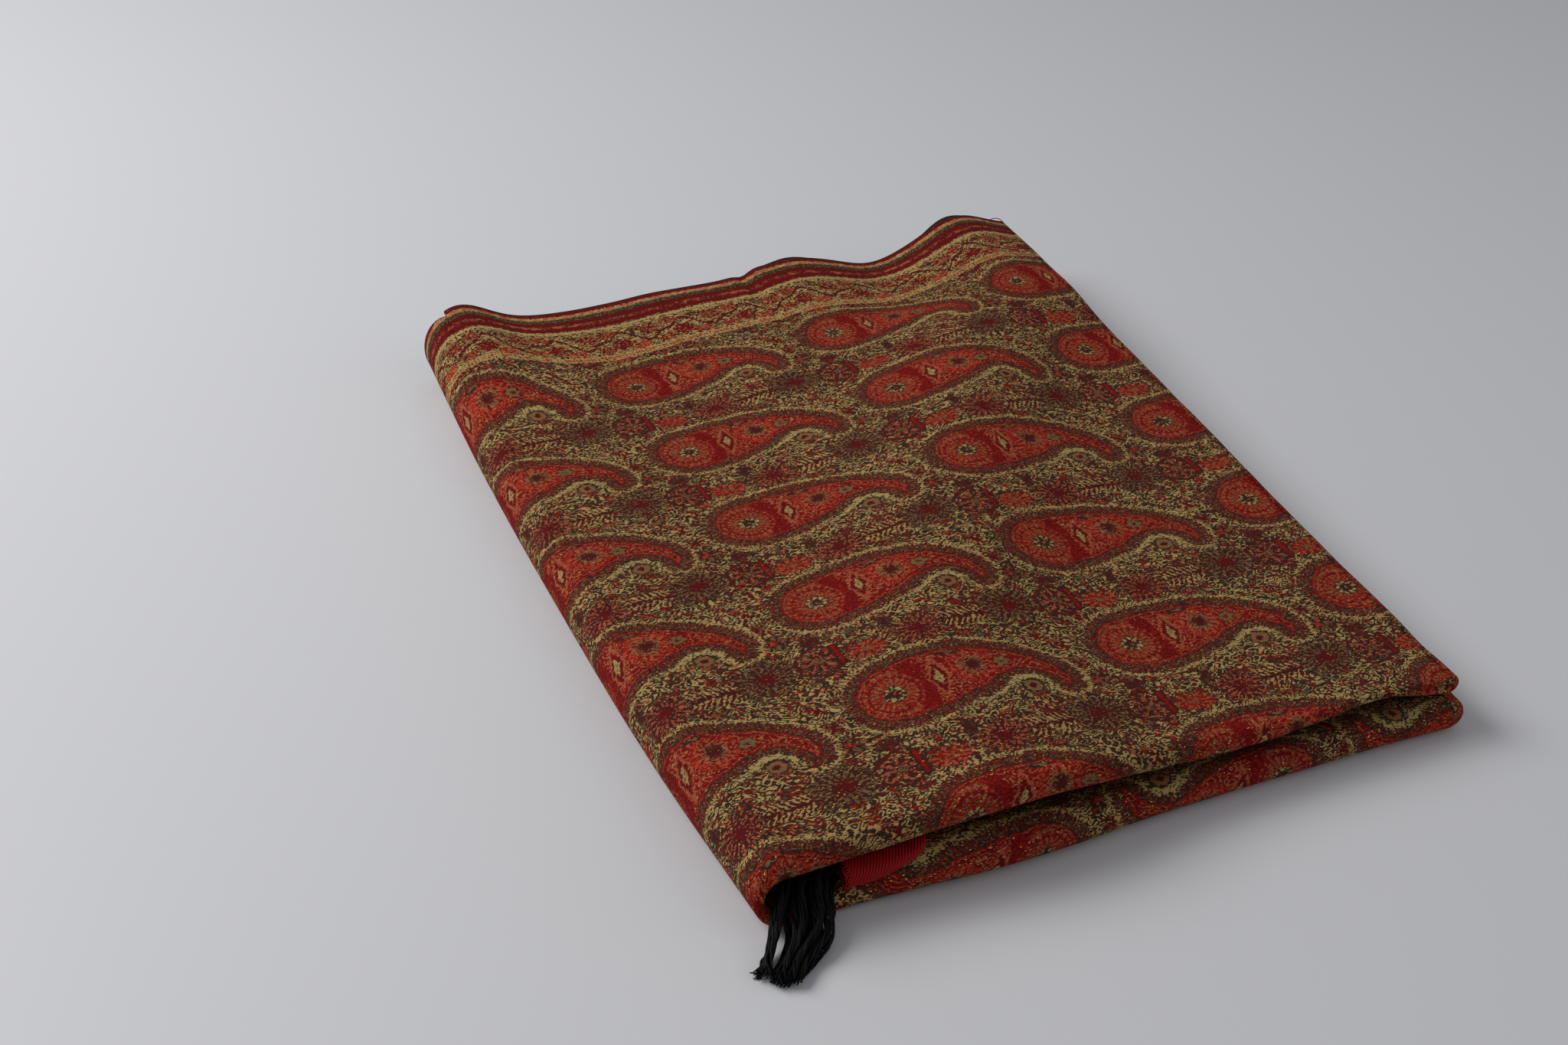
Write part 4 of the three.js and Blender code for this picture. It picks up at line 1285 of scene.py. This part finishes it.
def core_ring(ring_x, squeeze, is_under_second=False, lowered=0.0):
    """Points round one section of the hidden layers, and the places on flat cloth that they show."""
    start = upper_lip(ring_x(NEAR)) + CORE_START
    end = under_selvedge(ring_x(FAR)) - CORE_BACK

    def at(y, rise):
        x = ring_x(y)
        low = lower_thickness(x, y) + 2 * SEAM
        high = core_roof(x, y, is_under_second) - lowered
        middle = (low + high) / 2
        return np.stack(np.broadcast_arrays(x, y, middle + (high - middle) * squeeze * (2 * rise - 1)), -1)

    def edges(y, count, outward, ragged):
        """A stack of edges of single plies, and how far out each point is on its nose."""
        rise = np.linspace(0, 1, count * EDGE_STEPS + 1)[:-1]
        nose = np.abs(np.sin(rise * count * np.pi)) ** 0.6
        ply = np.floor(rise * count)
        wander = np.sin(ply * 2.7 + ring_x(FAR) / 31 + np.sin(ply * 5.1) * 3)
        wander = ragged * wander * (1 + np.sin(ply * 1.9)) / 2
        points = at(np.full_like(rise, y), rise)
        points[:, 1] += outward * (nose * NOSE - 1 + wander)
        return points, nose

    rows = np.linspace(start, end, 40)
    far, far_nose = edges(end, 2 * LAYERS, 1, RAGGED["far"])
    near, near_nose = edges(start, LAYERS, -1, RAGGED["near"])
    floor, roof = at(rows[:-1], 0 * rows[:-1]), at(rows[:0:-1], 1 + 0 * rows[:0:-1])
    points = np.concatenate([floor, far, roof, near[::-1]])
    across_selvedge = SELVEDGE_LINE - 3.2 * (1 - far_nose)
    across_lip = MIDDLE_LINE + 6 * (1 - near_nose[::-1])
    across = np.concatenate([floor[:, 1], across_selvedge, roof[:, 1], across_lip])
    return points, np.stack([points[:, 0], across], -1)


def core_left(share_out):
    reach = LEFT_TURN - 2 * SEAM
    return lambda y: top_start(y) - share_out * (reach - mix(SIDE_LIP, DOUBLED, in_from_lip(y, NEAR)))


def core_between(place_across):
    return lambda y: column_x(place_across, y)


def core_right(share_out):
    return lambda y: bottom_end(y) - 1.2 + share_out * (LOWER_TURN - PLY - 2 * SEAM)


# Rings from left to right: rounded at the left side, full between, and rounded in the lower right turn.
rings = [core_ring(core_left(p), math.sqrt(1 - p * p)) for p in (0.95, 0.8, 0.6, 0.3)]
rings += [core_ring(core_between(c), 1.0) for c in np.linspace(0, 12.8 / 18, 40)]
rings += [core_ring(core_between(c), 1.0, True) for c in np.linspace(SECOND_START, 17 / 18, 12)]
rings += [
    core_ring(core_right(p), math.sqrt(1 - p * p), True, PLY + 2 * SEAM) for p in (0, 0.3, 0.6, 0.8, 0.95)
]
core_points = np.stack([points for points, _ in rings])
core_flat = np.stack([flat for _, flat in rings])
index = np.arange(core_points[..., 0].size).reshape(core_points.shape[:2])
following = np.roll(index, -1, axis=1)
core_faces = quads(index[:-1], following[:-1], following[1:], index[1:]).tolist()
core_faces += [index[0][::-1].tolist(), index[-1].tolist()]
core = cloth_mesh(
    "hidden_stretches", core_points.reshape(-1, 3), core_faces, core_flat.reshape(-1, 2),
    jacquard("jacquard_hidden"),
)
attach(core, "root")
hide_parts("hidden_layers")

# ---------- end band ----------
# The plain end of the cloth: a doubled strip of red twill that comes out of the gap at the near left,
# folded in on itself at its right.

BAND = table_of("x out", (-162, 0.5), (-148, 3), (-134, 2.5), (-123, -1), (-116, -15))
CUT_EDGE = 0                      # the row of the cut edge, where the fringe starts
BAND_DEPTH = 34.0                 # how far it goes in between the layers
BAND_PLAY = 1.0                   # air above and below it
RIB_PITCH = 1.45
STITCH_PITCH = 0.7


def band_top(x, y):
    """The band fills the gap between the lips."""
    return upper_underside(x, np.maximum(y, NEAR)) - BAND_PLAY


def band_bottom(x, y):
    return lower_thickness(x, np.maximum(y, NEAR)) + BAND_PLAY


def twill():
    """Red twill: close diagonal ribs with painted shade in their grooves, and fine stitches across them."""
    material, tree, shader = new_material("red_twill", specular=0.15)
    x, y = in_mm(on_cloth(tree))
    uneven = grain(x, y, 3.0)
    rib = ((x * 0.89 - y * 0.45) * (2 * math.pi / RIB_PITCH) + uneven * 1.5).math("SINE")
    stitch = ((y - x * 0.3) * (2 * math.pi / STITCH_PITCH)).math("SINE")
    height = rib * 0.5 + 0.5 + stitch * 0.12
    # The ribs run from dark red in their grooves to bright red on their crests: painted shade and painted
    # light.
    colour = dyed(dye("6e0508"), dye("c81014"), height.fade(0.1, 0.95))
    colour = dyed(colour, dye("6a0810"), uneven.fade(0.58, 0.75) * 0.4)
    lay(colour, shader.inputs["Base Color"])
    lay(0.62 - uneven * 0.15, shader.inputs["Roughness"])
    raised(shader, height, strength=0.9, distance=0.0005)
    return material


band_x = np.linspace(BAND["x"][-1], BAND["x"][CUT_EDGE], 40).reshape(-1, 1)
end_band = doubled_cloth(
    "red_end_band",
    dict(
        outer=lambda y: (band_x, band_top(band_x, y)),
        inner=lambda y: (band_x, band_bottom(band_x, y)),
        near=NEAR - along(BAND, band_x, "out"),
        outer_far=0 * band_x + NEAR + BAND_DEPTH,
        inner_far=0 * band_x + NEAR + BAND_DEPTH,
    ),
    lambda x, y: x,
    twill(),
)
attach(end_band, "root")
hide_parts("end_band")

# ---------- fringe ----------
# Black cords at the end of the red band, each of ten thin yarns twisted together. They go out over
# the lower lip and down to the table, where their cut ends spread.

STRIP_WIDTH = 3.0                 # the strip at the band's cut edge that the cords hang from

# Heights of three layers of cords: at the root as a share of the gap, and then in mm above the table.
CORD_LAYERS = table_of(
    "root out down low tip",
    (0.08, 15.4, 6.0, 3.2, 2.4),
    (0.50, 18.8, 9.6, 5.8, 4.2),
    (0.92, 22.2, 13.0, 8.2, 6.4),
)
CORDS = table_of(
    "layer root_y out_x down_x down_y low_x low_y tip_x tip_y",
    (0, -233, -198.5, -204.5, -271.5, -213.0, -281.0, -219.5, -285.0),
    (1, -234, -197.0, -203.0, -270.5, -211.5, -281.0, -217.0, -287.5),
    (2, -236, -194.5, -200.5, -269.5, -209.5, -281.0, -215.5, -290.0),
    (0, -237, -193.0, -197.0, -273.5, -205.0, -283.0, -214.0, -291.0),
    (1, -239, -189.5, -193.5, -274.5, -203.0, -284.0, -212.5, -294.5),
    (2, -241, -186.0, -190.0, -273.5, -201.0, -284.0, -211.0, -292.5),
    (0, -243, -182.5, -187.5, -277.0, -200.5, -285.0, -209.5, -295.5),
    (1, -245, -180.0, -185.0, -277.5, -198.5, -285.5, -208.0, -294.0),
    (2, -247, -177.5, -182.5, -275.5, -196.5, -285.5, -207.0, -296.5),
    (0, -249, -176.5, -182.0, -278.5, -195.5, -287.0, -204.5, -297.0),
    (1, -251, -174.0, -180.0, -278.5, -193.5, -287.5, -203.5, -295.5),
    (0, -254, -171.0, -178.5, -279.5, -191.5, -288.0, -202.0, -293.0),
    (0, -240, -186.0, -190.5, -276.5, -203.5, -284.5, -212.0, -293.0),
    (0, -246, -179.5, -185.0, -278.0, -198.0, -286.0, -207.5, -296.0),
)
CORD_BEND = (0.55, 0.3)           # where a cord bends on its way out, as shares of the way along x and y
YARNS = 10
YARN_RADIUS = 0.5
TWIST_RADIUS = 1.5
TWIST_PITCH = 34.0
FRAY = 7.0                        # length of a cord's end where its yarns come apart


def smooth_route(knots, steps):
    """A smooth curve through a few places."""
    knots = np.array(knots, float)
    padded = np.vstack([2 * knots[0] - knots[1], knots, 2 * knots[-1] - knots[-2]])
    route = []
    for k in range(1, len(padded) - 2):
        a, b, c, d = padded[k - 1:k + 3]
        t = np.linspace(0, 1, steps, endpoint=False).reshape(-1, 1)
        bend, turn = 2 * a - 5 * b + 4 * c - d, 3 * b - a - 3 * c + d
        route.append(0.5 * (2 * b + (c - a) * t + bend * t ** 2 + turn * t ** 3))
    return np.vstack([*route, knots[-1:]])


def side_ways(route):
    """Two directions across a route at each of its points."""
    forward = np.gradient(route, axis=0)
    forward /= np.linalg.norm(forward, axis=1, keepdims=True)
    across = np.cross(forward, (0.0, 0.0, 1.0))
    across /= np.maximum(np.linalg.norm(across, axis=1, keepdims=True), 1e-6)
    return across, np.cross(across, forward)


def yarn_tube(route, radius, sides=6):
    """Points and faces of a thin round yarn along a route, closed at both ends."""
    across, over = side_ways(route)
    turn = 2 * np.pi * np.arange(sides) / sides
    radius = np.broadcast_to(radius, len(route)).reshape(-1, 1, 1)
    ring = across[:, None] * np.cos(turn)[None, :, None] + over[:, None] * np.sin(turn)[None, :, None]
    points = (route[:, None] + ring * radius).reshape(-1, 3)
    index = np.arange(len(points)).reshape(-1, sides)
    following = np.roll(index, -1, axis=1)
    faces = quads(index[:-1], index[1:], following[1:], following[:-1]).tolist()
    return points, faces + [index[0].tolist(), index[-1][::-1].tolist()]


def yarn_bundle(name, tubes, material):
    """One piece made of several yarns."""
    points, faces, made = [], [], 0
    for tube, sides in tubes:
        points.append(tube)
        faces += [[corner + made for corner in side] for side in sides]
        made += len(tube)
    points = np.vstack(points)
    return cloth_mesh(name, points, faces, points[:, :2], material)


def seen_from_above(tree):
    """Where a point lies, seen from above, in mm: thin yarns need no map of flat cloth."""
    return in_mm(Yarn(tree.nodes.new("ShaderNodeTexCoord").outputs["Object"]))


def black_yarn():
    """Soft black yarn: nearly no colour, and fine hairs along it."""
    material, tree, shader = new_material("black_yarn", specular=0.15)
    x, y = seen_from_above(tree)
    hairs = grain(x, y, 0.7, 4.0)
    lay(dyed(dye("060606"), dye("19181a"), hairs.fade(0.35, 0.75)), shader.inputs["Base Color"])
    lay(0.75 - hairs * 0.2, shader.inputs["Roughness"])
    raised(shader, hairs, strength=0.6, distance=0.0003)
    return material


def cord_routes():
    """The way of each cord, from the strip out of the gap and down to its tip."""
    strip_x = BAND["x"][CUT_EDGE] - SEAM - STRIP_WIDTH / 2
    for layer, root_y, out_x, down_x, down_y, low_x, low_y, tip_x, tip_y in zip(*CORDS.values()):
        root, out, down, low_z, tip = (column[int(layer)] for column in CORD_LAYERS.values())
        low, high = band_bottom(strip_x, root_y) + PLY / 2, band_top(strip_x, root_y) - PLY / 2
        yield smooth_route([
            (strip_x, root_y, mix(low, high, root)),
            (mix(strip_x, out_x, CORD_BEND[0]), mix(root_y, NEAR, CORD_BEND[1]), out),
            (out_x, NEAR + 2, out),
            (down_x, down_y, down),
            (low_x, low_y, low_z),
            (tip_x, tip_y, tip),
        ], 12)


chance = np.random.default_rng(7)


def twisted_yarns(route):
    """The yarns of one cord: each winds round it, a little unevenly, and comes loose at the end."""
    length = np.concatenate([[0], np.cumsum(np.linalg.norm(np.diff(route, axis=0), axis=1))])
    across, over = side_ways(route)
    loose = smooth(length, length[-1] - FRAY, length[-1])
    for k in range(YARNS):
        cut = length[-1] - chance.uniform(0, 3)
        wander = 0.5 * np.sin(length / chance.uniform(3, 7) + chance.uniform(0, 6))
        turn = 2 * np.pi * (k / YARNS + length / TWIST_PITCH) + chance.normal(0, 0.4) + wander
        radius = TWIST_RADIUS * chance.uniform(0.45, 1.15) + loose * chance.uniform(-0.5, 2.4)
        yarn = route + across * (np.cos(turn) * radius)[:, None] + over * (np.sin(turn) * radius)[:, None]
        yarn[:, 2] = np.maximum(yarn[:, 2], YARN_RADIUS + 0.1)
        kept = length <= cut
        yield yarn_tube(yarn[kept], YARN_RADIUS * (1 - 0.45 * loose[kept]))


cord_yarns = (tube for route in cord_routes() for tube in twisted_yarns(route))
fringe = yarn_bundle("black_fringe", cord_yarns, black_yarn())
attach(fringe, "root")
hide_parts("fringe")

# ---------- loose threads ----------
# Fine red weft threads: the row of small loops along the cut edge of the twill, a loop that has
# pulled out of the selvedge at the far left, and a stray end at the far right.

THREAD_RADIUS = 0.28
EDGE_LOOPS = 11


def red_thread():
    """Fine red thread, with painted shade where its strands turn under."""
    material, tree, shader = new_material("red_thread", specular=0.15)
    x, y = seen_from_above(tree)
    strands = ((x + y * 0.8) * (2 * math.pi / 0.6)).math("SINE") + grain(x, y, 1.0)
    # Darker red where the strands turn under: painted shade.
    lay(dyed(dye("7c0d0c"), dye("b8201a"), strands.fade(-0.4, 1.0)), shader.inputs["Base Color"])
    lay(0.8 - strands * 0.1, shader.inputs["Roughness"])
    return material


def edge_loops():
    """Places along each loop at the twill's cut edge, loop by loop from its top round to its underside."""
    edge = NEAR - BAND["out"][CUT_EDGE]
    x = BAND["x"][CUT_EDGE] + 0.5
    high, low = band_top(x, edge), band_bottom(x, edge)
    half = (high - low) / 2
    for k in range(EDGE_LOOPS):
        turn = np.pi * (0.1 + 0.8 * k / EDGE_LOOPS)
        reach = chance.uniform(1.8, 3.4)
        places = []
        for out, step in ((0.0, 0.0), (0.8, -0.1), (1.0, 0.15), (0.7, 0.35), (0.0, 0.28)):
            angle = turn + step
            y = edge + half * LIP_DEPTH * 2 * (1 - np.sin(angle)) - out
            places.append((x - out * reach, y, (high + low) / 2 + half * np.cos(angle) - out * 0.6))
        yield places


PULLED_LOOP = [
    (-186, 298, 38), (-183, 302.5, 41), (-177.5, 306, 43), (-171.5, 306.5, 43), (-167.5, 302, 41),
    (-166, 297, 40),
]
STRAY_END = [(220, 281, 50), (226, 283, 49.5), (231, 283.5, 47.5), (234, 283, 44.5)]
routes = [smooth_route(places, 7) for places in (PULLED_LOOP, STRAY_END, *edge_loops())]
loose = yarn_bundle(
    "loose_red_threads", [yarn_tube(route, THREAD_RADIUS) for route in routes], red_thread()
)
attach(loose, "root")
